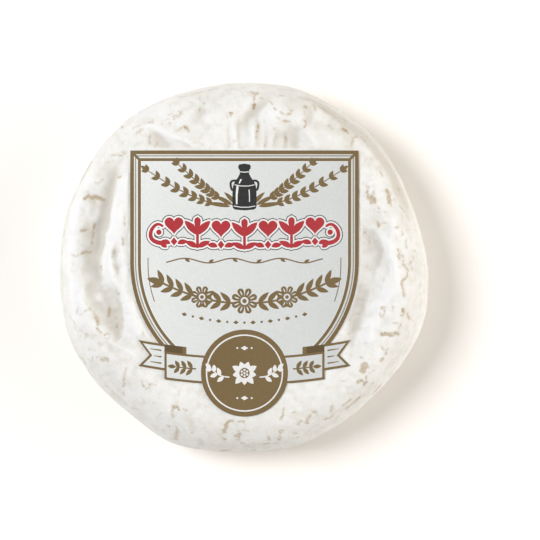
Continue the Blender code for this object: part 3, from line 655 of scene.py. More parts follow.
def torn(marks, rng):
    """Each mark as short uneven pieces with crumbs beside it: x0, y0, x1, y1, width, strength."""
    out = []
    for width, tone, *line in marks:
        if line[0][0] < 160:  # fainter on the left
            tone *= 0.82
        wander = 0.09 * width + 0.16
        for (x0, y0), (x1, y1) in zip(line, line[1:]):
            length = max(math.hypot(x1 - x0, y1 - y0), 1e-6)
            n = max(1, round(length / 1.9))
            ax, ay = (x1 - x0) / length, (y1 - y0) / length
            nodes = []
            for k in range(n + 1):
                off = rng.uniform(-wander, wander)
                t = k / n
                nodes.append((x0 + (x1 - x0) * t - ay * off, y0 + (y1 - y0) * t + ax * off))
            for (a, b), (c, d) in zip(nodes, nodes[1:]):
                if n > 3 and width < 3 and rng.random() < 0.1:
                    continue
                out.append((a, b, c, d, width * rng.uniform(0.72, 1.15), min(0.95, tone * rng.uniform(1.0, 1.35))))
            if rng.random() < 0.6:
                t, turn = rng.random(), rng.uniform(0, 6.28)
                far = width * rng.uniform(0.5, 0.9) + 0.4
                a = x0 + (x1 - x0) * t + far * math.cos(turn)
                b = y0 + (y1 - y0) * t + far * math.sin(turn)
                out.append((a, b, a + rng.uniform(-0.6, 0.6), b + rng.uniform(-0.6, 0.6), 0.5 + width * 0.2, tone * 0.6))
    return out


def top_marks(rng):
    """The marks of the top face as 3-D segments, with some small faint ones strewn between."""
    rows = list(MARKS)
    while len(rows) < len(MARKS) + 110:
        a, r = rng.uniform(0, 2 * math.pi), rng.uniform(112, 183)
        x, y = CENTRE[0] + r * math.cos(a), CENTRE[1] + r * math.sin(a)
        if float(label_depth(np.array(x), np.array(y))) > -6:
            continue
        run = rng.uniform(0.3, 3.5)
        dx, dy = (run, run * rng.uniform(-0.3, 0.3)) if rng.random() < 0.5 else (run * rng.uniform(-0.3, 0.3), run)
        rows.append((rng.uniform(0.8, 1.6), rng.uniform(0.1, 0.28), (x, y), (x + dx, y + dy)))
    x0, y0, x1, y1, width, tone = np.array(torn(rows, rng), float).T
    ends = []
    for x, y in ((x0, y0), (x1, y1)):
        px, py = to_metres(x, y)
        ends.append(np.stack([px, py, top_height(px, py)], 1))
    return [
        (tuple(a), tuple(b), w * UNIT, t) for a, b, w, t in zip(ends[0], ends[1], width, tone)
    ]


def nearest_marks(points, marks):
    """Depth inside the nearest mark's edge in mm, at least -1.5, and that mark's strength."""
    depth = np.full(len(points), -1.5)
    tone = np.zeros(len(points))
    for a, b, width, strength in marks:
        a, b = np.array(a), np.array(b)
        near = np.flatnonzero(
            (np.abs(points - (a + b) / 2) < np.abs(b - a) / 2 + width / 2 + 0.0015).all(1)
        )
        if not len(near):
            continue
        p, run = points[near] - a, b - a
        t = np.clip(p @ run / max(run @ run, 1e-12), 0, 1)
        away = np.linalg.norm(p - t[:, None] * run, axis=1)
        here = (width / 2 - away) * 1000
        better = here > depth[near]
        depth[near[better]] = here[better]
        tone[near[better]] = min(strength, 1.0)
    return depth, tone


def cavity(x, y):
    """How far the top's folds lie below the mean of their surroundings, about -1 to 1."""
    size, low_x, low_y = 440, CENTRE[0] - 220, CENTRE[1] - 220
    gx, gy = np.meshgrid(np.arange(size) + low_x, np.arange(size) + low_y)
    px, py = to_metres(gx.ravel(), gy.ravel())
    relief = top_relief(px, py).reshape(size, size) * 1000
    spectrum = np.fft.rfft2(relief)
    fx, fy = np.fft.rfftfreq(size)[None, :], np.fft.fftfreq(size)[:, None]
    total = np.zeros((size, size))
    for sigma, weight in ((4.0, 1.1), (12.0, 0.75)):
        blur = np.fft.irfft2(spectrum * np.exp(-2 * (math.pi * sigma) ** 2 * (fx**2 + fy**2)), (size, size))
        total += (blur - relief) * weight
    i = np.clip((y - low_y).astype(int), 0, size - 2)
    j = np.clip((x - low_x).astype(int), 0, size - 2)
    v, u = np.clip(y - low_y - i, 0, 1), np.clip(x - low_x - j, 0, 1)
    near = (1 - v) * ((1 - u) * total[i, j] + u * total[i, j + 1])
    near = near + v * ((1 - u) * total[i + 1, j] + u * total[i + 1, j + 1])
    return np.tanh(1.25 * near)


def make_cheese():
    rng = random.Random(7)
    points, rings, faces = [], [], []
    zero = np.zeros(1)
    points.append(np.stack(body_point(zero, zero, np.full(1, HEIGHT)), 1))
    count = 1
    for share, level, n in cheese_rings():
        angles = np.arange(n) * 2 * math.pi / n
        points.append(
            np.stack(body_point(angles, np.full(n, share), np.full(n, float(level))), 1)
        )
        rings.append(list(range(count, count + n)))
        count += n
    points.append(np.zeros((1, 3)))
    points = np.concatenate(points)
    first, last = rings[0], rings[-1]
    faces += [(0, first[i], first[(i + 1) % len(first)]) for i in range(len(first))]
    for upper, lower in zip(rings, rings[1:]):
        faces += ring_faces(upper, lower)
    faces += [(count, last[(i + 1) % len(last)], last[i]) for i in range(len(last))]

    mesh = bpy.data.meshes.new("rind_surface")
    mesh.from_pydata([tuple(p) for p in points], [], faces)
    mesh.update()
    normals = np.empty(len(points) * 3, np.float32)
    mesh.vertices.foreach_get("normal", normals)
    normals = normals.reshape(-1, 3).astype(float)

    # fine unevenness, along the surface's own normal, in mm
    x, y = points[:, 0] / UNIT + CENTRE[0], CENTRE[1] - points[:, 1] / UNIT
    depth = label_depth(x, y)
    on_top = points[:, 2] > 0.020
    bare = np.where(on_top, 1 - smooth((depth + 7) / 6), 1.0)
    base = smooth((0.0016 - points[:, 2]) / 0.0014)  # 1 on the base
    side = smooth((0.0215 - points[:, 2]) / 0.006) * (1 - base)
    push = 0.15 * grain(points, 0.0075, 3.1) + 0.085 * grain(points, 0.0036, 11.7)
    push += 0.04 * grain(points, 0.0017, 5.3)
    # creased skin: narrow valleys that come and go
    for size, depth_mm, shift in ((0.0062, 0.16, 51.3), (0.0034, 0.08, 63.9)):
        valley = 1 - smooth(np.abs(grain(points, size, shift)) / 0.14)
        push -= depth_mm * valley * smooth(grain(points, 0.011, shift + 9) * 2.2 + 0.35)
    # the side is a little lumpy, with level wrinkles
    push += side * 0.35 * grain(points, 0.019, 21.3)
    level_wise = points * np.array([0.28, 0.28, 1.0])
    ridge = grain(level_wise, 0.0024, 31.9)
    push -= side * 0.16 * (1 - smooth(np.abs(ridge) / 0.16)) * smooth(grain(points, 0.012, 8.8) * 2 + 0.6)
    # upright streaks on the top, as pleats of cloth
    streaks = grain(points * np.array([1.0, 0.22, 1.0]), 0.0022, 41.3)
    push += (1 - side) * (1 - base) * 0.045 * streaks
    push *= bare * (1 - 0.75 * base)
    # the mat's pattern on the base
    lines = np.maximum(
        np.cos(points[:, 0] / 0.0062 * 2 * math.pi), np.cos(points[:, 1] / 0.0062 * 2 * math.pi)
    )
    push -= base * 0.14 * smooth((lines - 0.72) / 0.28)

    marks = top_marks(rng) + side_marks(rng)
    mark_depth, mark_tone = nearest_marks(points, marks)
    push -= 0.11 * smooth((mark_depth + 0.25) / 0.45) * mark_tone * bare
    mark_tone = mark_tone * bare
    moved = points + normals * (push / 1000)[:, None]
    moved[:, 2] = np.maximum(moved[:, 2], 0.0)
    mesh.vertices.foreach_set("co", moved.astype(np.float32).ravel())

    # how deep each point lies below its surroundings, for painted shade in the hollows and a painted highlight on the
    # folds
    painted_shading = np.clip(cavity(x, y) * on_top + np.clip(-push * 0.9, -0.25, 0.4), -1, 1) * 0.5 + 0.5
    # and painted shade, darker along the rim at the upper right, in patches
    turn = np.degrees(np.arctan2(points[:, 1], points[:, 0]))
    rim = smooth((np.hypot(points[:, 0], points[:, 1]) - 0.0425) / 0.007)
    rim *= smooth(1.3 - np.abs(turn - 50) / 34) * (1.0 + 0.6 * grain(points, 0.008, 71.3))
    # and a painted highlight, whiter beside the label on the right and at the upper left
    white = smooth(1.3 - np.hypot((x - 376) / 24, (y - 300) / 48))
    white += 0.8 * smooth(1.3 - np.hypot((x - 150) / 30, (y - 110) / 20))
    painted_shading = np.clip(painted_shading + 0.24 * rim - 0.19 * white, 0, 1)
    for name, values in (
        ("mark_depth", mark_depth), ("mark_tone", mark_tone), ("painted_shading", painted_shading)
    ):
        mesh.attributes.new(name, "FLOAT", "POINT").data.foreach_set(
            "value", values.astype(np.float32)
        )
    mesh.materials.append(rind_paint())
    mesh.shade_smooth()
    mesh.update()
    cheese = bpy.data.objects.new("bloomy_rind_cheese", mesh)
    scene.collection.objects.link(cheese)
    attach(cheese, "root")
    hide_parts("cheese")
    return cheese


# ---------------------------------------------------------------- the label's print
# Shapes are lists of (u, v) in the drawing's units: u runs right from the label's middle line and
# v is the drawing's y. Each is drawn over those before it, in one of the inks below.


def mirrored(shape):
    return [(-u, v) for u, v in reversed(shape)]


def disc(u, v, r, n=24):
    return [
        (u + r * math.cos(2 * math.pi * k / n), v + r * math.sin(2 * math.pi * k / n))
        for k in range(n)
    ]


def placed(shape, u, v, turn=0.0, size=1.0):
    """A shape drawn about (0, 0), turned by degrees (clockwise on the page) and moved."""
    c, s = math.cos(math.radians(turn)) * size, math.sin(math.radians(turn)) * size
    return [(u + a * c - b * s, v + a * s + b * c) for a, b in shape]


def leaf(length, width, n=9, full=0.5, hook=0.0):
    """A pointed leaf from (0, 0) upwards; full is where it is widest, hook bends its tip."""
    k = math.log(0.5) / math.log(full)
    right, left = [], []
    for i in range(n + 1):
        t = i / n
        w = width / 2 * math.sin(math.pi * t**k) ** 0.85 if 0 < i < n else 0.0
        bend = hook * t * t
        right.append((bend + w, -length * t))
        left.append((bend - w, -length * t))
    return right + left[-2:0:-1]


def petal(length, width, n=12):
    """A petal from (0, 0) upwards with a round end."""
    right, left = [], []
    for i in range(n + 1):
        t = i / n
        w = width / 2 * (t ** 0.75) * math.sqrt(max(1 - ((t - 0.62) / 0.38) ** 2, 0)) if t > 0.62 else width / 2 * t**0.75
        right.append((w, -length * t))
        left.append((-w, -length * t))
    return right + left[-2:0:-1]


def heart(size, n=28):
    points = []
    for i in range(n):
        t = 2 * math.pi * i / n
        a = 16 * math.sin(t) ** 3
        b = 13 * math.cos(t) - 5 * math.cos(2 * t) - 2 * math.cos(3 * t) - math.cos(4 * t)
        points.append((a * size / 32, -b * size / 32))
    return points


def lozenge(a, b):
    return [(a, 0), (0, b), (-a, 0), (0, -b)]


def stroke(line, width, end=None):
    """A line of that width with round ends, tapering to `end` if that is given."""
    end = width if end is None else end
    points = np.array(line, float)
    run = np.gradient(points, axis=0)
    run /= np.linalg.norm(run, axis=1)[:, None]
    side = np.stack([-run[:, 1], run[:, 0]], 1)
    w = np.linspace(width, end, len(points))[:, None] / 2
    one, other = points + side * w, points - side * w
    shape = [tuple(p) for p in one]
    for k in (1, 2, 3):
        a = math.pi * k / 4
        p = points[-1] + w[-1] * (side[-1] * math.cos(a) + run[-1] * math.sin(a))
        shape.append(tuple(p))
    shape += [tuple(p) for p in other[::-1]]
    for k in (1, 2, 3):
        a = math.pi * k / 4
        p = points[0] - w[0] * (side[0] * math.cos(a) + run[0] * math.sin(a))
        shape.append(tuple(p))
    return shape


def curve(start, control, end, n=14):
    """Points of a bent line from start to end."""
    out = []
    for i in range(n + 1):
        t = i / n
        out.append(tuple(
            (1 - t) ** 2 * a + 2 * t * (1 - t) * b + t * t * c
            for a, b, c in zip(start, control, end)
        ))
    return out


def grown(shape, by):
    """A shape with its outline moved outwards, with extra points at sharp corners."""
    points = np.array(shape, float)
    nxt, prv = np.roll(points, -1, 0), np.roll(points, 1, 0)
    area = np.sum(points[:, 0] * nxt[:, 1] - nxt[:, 0] * points[:, 1])
    sign = 1 if area > 0 else -1
    a, b = points - prv, nxt - points
    a /= np.linalg.norm(a, axis=1)[:, None] + 1e-12
    b /= np.linalg.norm(b, axis=1)[:, None] + 1e-12
    na = sign * np.stack([a[:, 1], -a[:, 0]], 1)
    nb = sign * np.stack([b[:, 1], -b[:, 0]], 1)
    out = []
    for p, m, n in zip(points, na, nb):
        half = m + n
        norm = np.linalg.norm(half)
        corner = m @ n
        if corner < 0.3:  # a sharp corner gets two points
            out += [tuple(p + m * by), tuple(p + n * by)]
        else:
            out.append(tuple(p + half / norm * by / max(norm / 2, 0.5)))
    return out


def shield(inset):
    """The shield's outline, moved inwards."""
    half, r = SHIELD_HALF - inset, SHIELD_ARC_R - inset
    centre = SHIELD_HALF - SHIELD_ARC_R
    right = [(0.0, SHIELD_TOP + inset)]
    right += along((0, SHIELD_TOP + inset), (half, SHIELD_TOP + inset), 36)
    right += along((half, SHIELD_TOP + inset), (half, SHIELD_ARC_AT), 36)
    full = math.acos(-centre / r)
    for k in range(1, 49):
        a = full * k / 48
        right.append((centre + r * math.cos(a), SHIELD_ARC_AT + r * math.sin(a)))
    right[-1] = (0.0, right[-1][1])
    return right + [(-u, v) for u, v in reversed(right[1:-1])]


def on_ribbon(x, y):
    """A point of the ribbon, which bends up towards its ends."""
    return x, y - RIBBON_BEND * x * x


def along(start, end, steps):
    """Points from start to end, without the first."""
    return [
        (start[0] + (end[0] - start[0]) * k / steps, start[1] + (end[1] - start[1]) * k / steps)
        for k in range(1, steps + 1)
    ]


def label_outline():
    """The label's edge as a closed run of (u, v), right half first."""
    _, band_bottom, band_out = RIBBON_BAND
    tail_top, tail_bottom, tail_out, notch = RIBBON_TAIL
    half = [(0.0, SHIELD_TOP)]
    half += along((0, SHIELD_TOP), (SHIELD_HALF, SHIELD_TOP), 40)
    half += along((SHIELD_HALF, SHIELD_TOP), (SHIELD_HALF, SHIELD_ARC_AT), 40)
    centre = SHIELD_HALF - SHIELD_ARC_R
    x = 80.0
    for _ in range(20):
        x = float(shield_half(np.array(on_ribbon(x, tail_top)[1])))
    stop = math.asin((on_ribbon(x, tail_top)[1] - SHIELD_ARC_AT) / SHIELD_ARC_R)
    for k in range(1, 37):
        a = stop * k / 36
        half.append((centre + SHIELD_ARC_R * math.cos(a), SHIELD_ARC_AT + SHIELD_ARC_R * math.sin(a)))
    tail = along((x, tail_top), (tail_out, tail_top), 8)
    tail += along((tail_out, tail_top), (notch, (tail_top + tail_bottom) / 2), 4)
    tail += along((notch, (tail_top + tail_bottom) / 2), (tail_out, tail_bottom), 4)
    tail += along((tail_out, tail_bottom), (band_out, tail_bottom), 8)
    tail += along((band_out, tail_bottom), (band_out, band_bottom), 3)
    turn = math.asin((band_bottom - 3.0 - SEAL_AT) / SEAL_R)
    tail += along((band_out, band_bottom), (SEAL_R * math.cos(turn) + 1.5, band_bottom), 10)
    half += [on_ribbon(*p) for p in tail]
    for k in range(25):
        a = turn + (math.pi / 2 - turn) * k / 24
        half.append((SEAL_R * math.cos(a), SEAL_AT + SEAL_R * math.sin(a)))
    half[-1] = (0.0, SEAL_AT + SEAL_R)
    return half + [(-u, v) for u, v in reversed(half[1:-1])]


def label_print():
    """Every printed shape in the order of drawing, as (ink, shape)."""
    drawn = []

    def draw(ink, shape, both=False):
        drawn.append((ink, shape))
        if both:
            drawn.append((ink, mirrored(shape)))

    # the shield's double border and its field
    draw("paper", shield(3.75))
    draw("grey", shield(4.8))
    draw("paper", shield(6.0))
    draw("brown", shield(7.7))
    draw("pale", shield(10.7))
    draw("paper", shield(11.4))
    inner = (SHIELD_HALF - 9.0, SHIELD_TOP + 9.0)
    draw("brown", stroke([(SHIELD_HALF - 2.0, SHIELD_TOP + 2.0), inner], 2.6), both=True)

    # crest: a milk churn between two sprays of wheat
    sprays = []
    for bend, tip in (((40, 209), (96, 171)), ((30, 199), (66, 164.5))):
        stem = curve((15, 203), bend, tip, 20)
        sprays.append(("stem", stroke(stem, 1.7, 0.9)))
        steps = range(5, 21)
        for i in steps:
            (a, b), (c, d) = stem[i - 1], stem[min(i, 20)]
            run = math.degrees(math.atan2(d - b, c - a)) + 90
            grow = 0.75 + 0.3 * math.sin(math.pi * (i - 4) / 17)
            if i % 2:
                continue
            for lean in (-34, 34):
                sprays.append(("ear", placed(leaf(9.2 * grow, 4.6 * grow, 7, 0.42), c, d, run + lean)))
        sprays.append(("ear", placed(leaf(9.5, 4.2, 7, 0.42), *stem[-1], run)))
    for _, shape in sprays:
        draw("brown", shape, both=True)
    for turn, u, v, length in ((58, 12, 205, 22), (78, 14, 206.5, 26), (36, 10, 203, 15)):
        draw("brown", placed(leaf(length, 4.4, 9, 0.4, 2.0), u, v, turn), both=True)

    churn = [
        (5.4, 164.5), (6.2, 166.2), (6.2, 168.4), (4.8, 170.0), (4.6, 173.6), (6.4, 177.2),
        (9.6, 181.6), (11.4, 186.2), (12.0, 191.0), (12.2, 205.4), (11.4, 208.2), (9.4, 209.6),
        (0.0, 210.4),
    ]
    draw("black", [(0.0, 163.6)] + churn + [(-u, v) for u, v in reversed(churn[:-1])])
    handle = curve((9.2, 180.6), (16.4, 180.0), (12.6, 189.8), 10)
    draw("black", stroke(handle, 2.2), both=True)
    draw("white", stroke([(-7.0, 187.0), (-7.8, 195.0), (-7.8, 203.6)], 2.4, 1.6))
    draw("white", stroke([(-3.6, 179.8), (-5.2, 183.0)], 1.7, 1.2))
    draw("white", stroke([(-9.6, 184.8), (-3.2, 186.0), (4.0, 186.0), (9.8, 184.8)], 0.8))
    draw("white", stroke([(-10.6, 206.0), (-3.6, 207.2), (4.0, 207.2), (10.6, 206.0)], 0.8))
    draw("white", stroke([(-4.0, 171.8), (0.0, 172.2), (4.0, 171.8)], 0.9))
    draw("white", stroke([(4.6, 190.0), (5.0, 197.0), (5.0, 201.6)], 1.0, 0.8))

    # the red band: hearts, tulips and scrolls, each with a white edge and a fine dark line
    red = []
    for k, u in enumerate((0, 23.5, 47, 70.5)):
        rise = 1.6 * (u / 47) ** 2
        v = 233.5 - rise
        if k % 2 == 0:  # a tulip on its two leaves
            unit = [
                placed(petal(17.5, 8.6), u, v + 2.5), placed(leaf(17.5, 7.6, 9, 0.5, 4.5), u + 1.6, v + 2.8, 24),
                placed(leaf(17.5, 7.6, 9, 0.5, -4.5), u - 1.6, v + 2.8, -24),
                stroke([(u, v - 2), (u, v + 15)], 2.8),
                placed(leaf(13.5, 5.8, 9, 0.45, 2.5), u + 0.5, v + 15.5, 52),
                placed(leaf(13.5, 5.8, 9, 0.45, -2.5), u - 0.5, v + 15.5, -52),
            ]
        else:  # a heart over a pair of buds
            unit = [
                placed(heart(19.0), u, v - 5.5),
                placed(lozenge(3.4, 4.2), u, v + 11.5),
                placed(leaf(10.5, 5.4, 9, 0.5, 2.5), u + 3.4, v + 13.8, 62),
                placed(leaf(10.5, 5.4, 9, 0.5, -2.5), u - 3.4, v + 13.8, -62),
            ]
        red += unit
        if u:
            red += [mirrored(s) for s in unit]
    v = 229.0
    scroll = [
        stroke(curve((84, v + 14), (97, v + 12), (93, v + 1), 10), 4.4, 3.6),
        stroke(curve((93, v + 1), (88, v - 8), (82, v - 3), 8), 3.6, 2.4),
        placed(leaf(9, 5, 8, 0.5), 84.5, v + 13, -128),
        disc(85.6, v + 3.2, 2.7, 14),
    ]
    red += scroll + [mirrored(s) for s in scroll]
    for shape in red:
        draw("black", grown(shape, 2.5))
    for shape in red:
        draw("white", grown(shape, 1.65))
    for shape in red:
        draw("red", shape)

    # a fine wavy line under it, with a leaf in each bend
    wave = [(u, 260.6 + 2.3 * math.sin(u / 7.6)) for u in np.linspace(-78, 78, 79)]
    draw("brown", stroke(wave, 1.3))
    for k in range(-6, 7):
        u = 7.6 * math.pi * (k + 0.5)
        if abs(u) < 76:
            up = math.sin(u / 7.6) > 0
            draw("brown", placed(leaf(6.2, 2.9, 7, 0.45), u, 260.6 + (1.9 if up else -1.9), 60 if up else 120))

    # garland: leaves along a hanging arc, with flowers
    def hang(u, low, high, reach):
        return low - (low - high) * (u / reach) ** 2

    arc = [(u, hang(u, 303.5, 282.0, 84)) for u in np.linspace(-84, 84, 61)]
    draw("brown", stroke(arc, 2.0))
    for k in range(8):
        u = 14.0 + 9.6 * k
        at_v = hang(u, 303.5, 282.0, 84)
        slope = math.degrees(math.atan2(-2 * 21.5 * u / 84**2, 1)) + 90
        if k == 3:
            continue
        for lean, far in ((-46, 1.0), (46, 0.88)):
            draw("brown", placed(leaf(15.0 * far, 5.2, 9, 0.42, 1.2 if lean < 0 else -1.2), u, at_v, slope + lean), both=True)
    draw("brown", placed(leaf(15, 6.6, 9, 0.42), 83, hang(83, 303.5, 282.0, 84), 74), both=True)
    for u, r in ((0, 13.5), (42.5, 11.5)):
        v = hang(u, 303.5, 282.0, 84) - (1.0 if u else 2.5)
        for pair in (False, True) if u else (False,):
            m = mirrored if pair else (lambda s: s)
            for k in range(8):
                draw("brown", m(placed(petal(r, r * 0.62), u, v, 45 * k + 22.5)))
            draw("paper", m(disc(u, v, r * 0.30, 18)))
            draw("brown", m(disc(u, v, r * 0.16, 12)))
            for k in range(8):
                draw("paper", m(placed(leaf(r * 0.42, r * 0.10, 5), *placed([(0, -r * 0.42)], u, v, 45 * k + 22.5)[0], 45 * k + 22.5)))

    # a row of small lozenges and dots that hangs below it
    for k in range(-7, 8):
        u = 8.6 * k
        v = 322.6 - 8.8 * (u / 62) ** 2
        turn = -math.degrees(math.atan2(2 * 8.8 * u / 62**2, 1))
        draw("brown", placed(lozenge(2.9, 2.0), u, v, turn) if k % 2 else disc(u, v, 1.25, 12))
    # and fine upright lines inside the border
    side_line = [(96.4, 258.0), (96.4, 264.0)]
    for k in range(1, 13):
        a = 0.34 * k / 12
        side_line.append((SHIELD_HALF - SHIELD_ARC_R + 111.6 * math.cos(a), 264.0 + 111.6 * math.sin(a)))
    draw("brown", stroke(side_line, 0.9), both=True)

    # the ribbon's tails, its folds and its front
    tail_top, tail_bottom, tail_out, notch = RIBBON_TAIL
    band_top, band_bottom, band_out = RIBBON_BAND
    middle = (tail_top + tail_bottom) / 2

    def bent(points, n=8):
        run = []
        for a, b in zip(points, points[1:] + points[:1]):
            run += along(a, b, n)
        return [on_ribbon(*p) for p in run]

    tail = [(58, tail_top), (tail_out, tail_top), (notch, middle), (tail_out, tail_bottom), (58, tail_bottom)]
    draw("brown", bent([(58, tail_top), (tail_out - 0.3, tail_top), (notch, middle), (tail_out - 0.3, tail_bottom), (58, tail_bottom)], 6), both=True)
    w = 2.3
    draw("paper", bent([(62, tail_top + w), (tail_out - 4.6, tail_top + w), (notch - 2.9, middle), (tail_out - 4.6, tail_bottom - w), (62, tail_bottom - w)], 6), both=True)
    for k, at_v in enumerate((tail_top + 6.6, tail_top + 13.0, tail_top + 19.4)):
        length = (10.5, 6.5, 10.5)[k]
        draw("brown", stroke([on_ribbon(83.5, at_v), on_ribbon(83.5 + length, at_v)], 1.5, 0.7), both=True)
    draw("shade", bent([(62, tail_top), (band_out + 0.0, tail_top), (band_out + 0.0, band_top + 1.5), (62, band_top + 1.5)], 5)[:], both=True)
    draw("brown", bent([(-band_out, band_top), (band_out, band_top), (band_out, band_bottom), (-band_out, band_bottom)], 24))
    draw("paper", bent([(-band_out + w, band_top + w), (band_out - w, band_top + w), (band_out - w, band_bottom - w), (-band_out + w, band_bottom - w)], 24))
    middle = (band_top + band_bottom) / 2
    draw("brown", stroke([on_ribbon(u, middle) for u in (49, 56, 63, 70)], 1.5, 1.1), both=True)
    for k, u in enumerate((52.0, 58.5, 65.0)):
        for lean in (-52, 52):
            draw("brown", placed(leaf(9.6 - 0.8 * k, 4.0, 8, 0.46), *on_ribbon(u, middle), 84 + lean), both=True)
    draw("brown", placed(leaf(8.6, 4.0, 8, 0.46), *on_ribbon(68.5, middle), 84), both=True)

    # the seal: a ring and a mountain flower between two leafy twigs
    draw("brown", disc(0, SEAL_AT, SEAL_R, 96))
    draw("white", disc(0, SEAL_AT, 38.6, 84))
    draw("brown", disc(0, SEAL_AT, 37.2, 84))
    for k in range(9):
        draw("white", placed(leaf(14.0 if k % 2 else 12.0, 6.4, 9, 0.52), 0, SEAL_AT, 40 * k + 20))
    draw("brown", disc(0, SEAL_AT, 5.2, 22))
    for k in range(6):
        draw("white", disc(*placed([(0, -3.1)], 0, SEAL_AT, 60 * k)[0], 1.15, 10))
    draw("white", disc(0, SEAL_AT, 1.2, 10))
    twig = curve((15.5, SEAL_AT + 4), (26, SEAL_AT + 4), (34, SEAL_AT - 5), 12)
    draw("white", stroke(twig, 1.3, 0.9), both=True)
    for i, (lean, size) in zip((3, 5, 7, 9, 11), ((48, 8.6), (-48, 8.6), (48, 8.0), (-48, 7.4), (44, 6.4))):
        (a, b), (c, d) = twig[i - 1], twig[i]
        run = math.degrees(math.atan2(d - b, c - a)) + 90
        draw("white", placed(leaf(size, 4.2, 8, 0.48), c, d, run + lean), both=True)
    draw("white", placed(leaf(7.5, 4.0, 8, 0.48), 33.4, SEAL_AT - 4.4, 48), both=True)
    for v in (SEAL_AT - 25, SEAL_AT + 25):
        draw("white", placed(lozenge(3.8, 2.2), 0, v))
        draw("white", disc(7.2, v, 1.0, 10), both=True)
    return drawn


def winding(points, ring):
    """Whether each point is inside a ring, also where the ring crosses itself."""
    turns = np.zeros(len(points), int)
    x, y = points[:, 0], points[:, 1]
    for (x0, y0), (x1, y1) in zip(ring, ring[1:] + ring[:1]):
        if y0 == y1:
            continue
        left = (x1 - x0) * (y - y0) - (x - x0) * (y1 - y0) > 0
        turns += ((y0 <= y) & (y < y1) & left).astype(int)
        turns -= ((y1 <= y) & (y < y0) & ~left).astype(int)
    return turns != 0


def spread(step, ring, clear):
    """A grid of points inside a ring, that far apart and clear of its edge."""
    edge = np.array(ring)
    low, high = edge.min(0), edge.max(0)
    rows = []
    for j, v in enumerate(np.arange(low[1] + step / 2, high[1], step * 0.87)):
        for u in np.arange(low[0] + step * (0.5 if j % 2 else 0.25), high[0], step):
            rows.append((u, v))
    grid = np.array(rows)
    grid = grid[winding(grid, ring)]
    away = np.min(np.hypot(grid[:, None, 0] - edge[None, :, 0], grid[:, None, 1] - edge[None, :, 1]), 1)
    return grid[away > clear]


INKS = {
    # name: darker tone, lighter tone, roughness, shine
    "brown": ((0.163, 0.110, 0.046), (0.180, 0.124, 0.054), 0.55, 0.2),
    "pale": ((0.775, 0.77, 0.735), (0.82, 0.815, 0.78), 0.50, 0.4),
    "paper": ((0.668, 0.680, 0.656), (0.716, 0.727, 0.702), 0.45, 0.5),
    "grey": ((0.25, 0.21, 0.15), (0.29, 0.25, 0.19), 0.5, 0.4),
    "red": ((0.365, 0.022, 0.028), (0.40, 0.027, 0.034), 0.5, 0.35),
    "black": ((0.014, 0.015, 0.014), (0.022, 0.024, 0.022), 0.5, 0.35),
    "white": ((0.80, 0.79, 0.76), (0.84, 0.83, 0.80), 0.5, 0.4),
    "shade": ((0.10, 0.067, 0.028), (0.113, 0.077, 0.034), 0.55, 0.2),
}


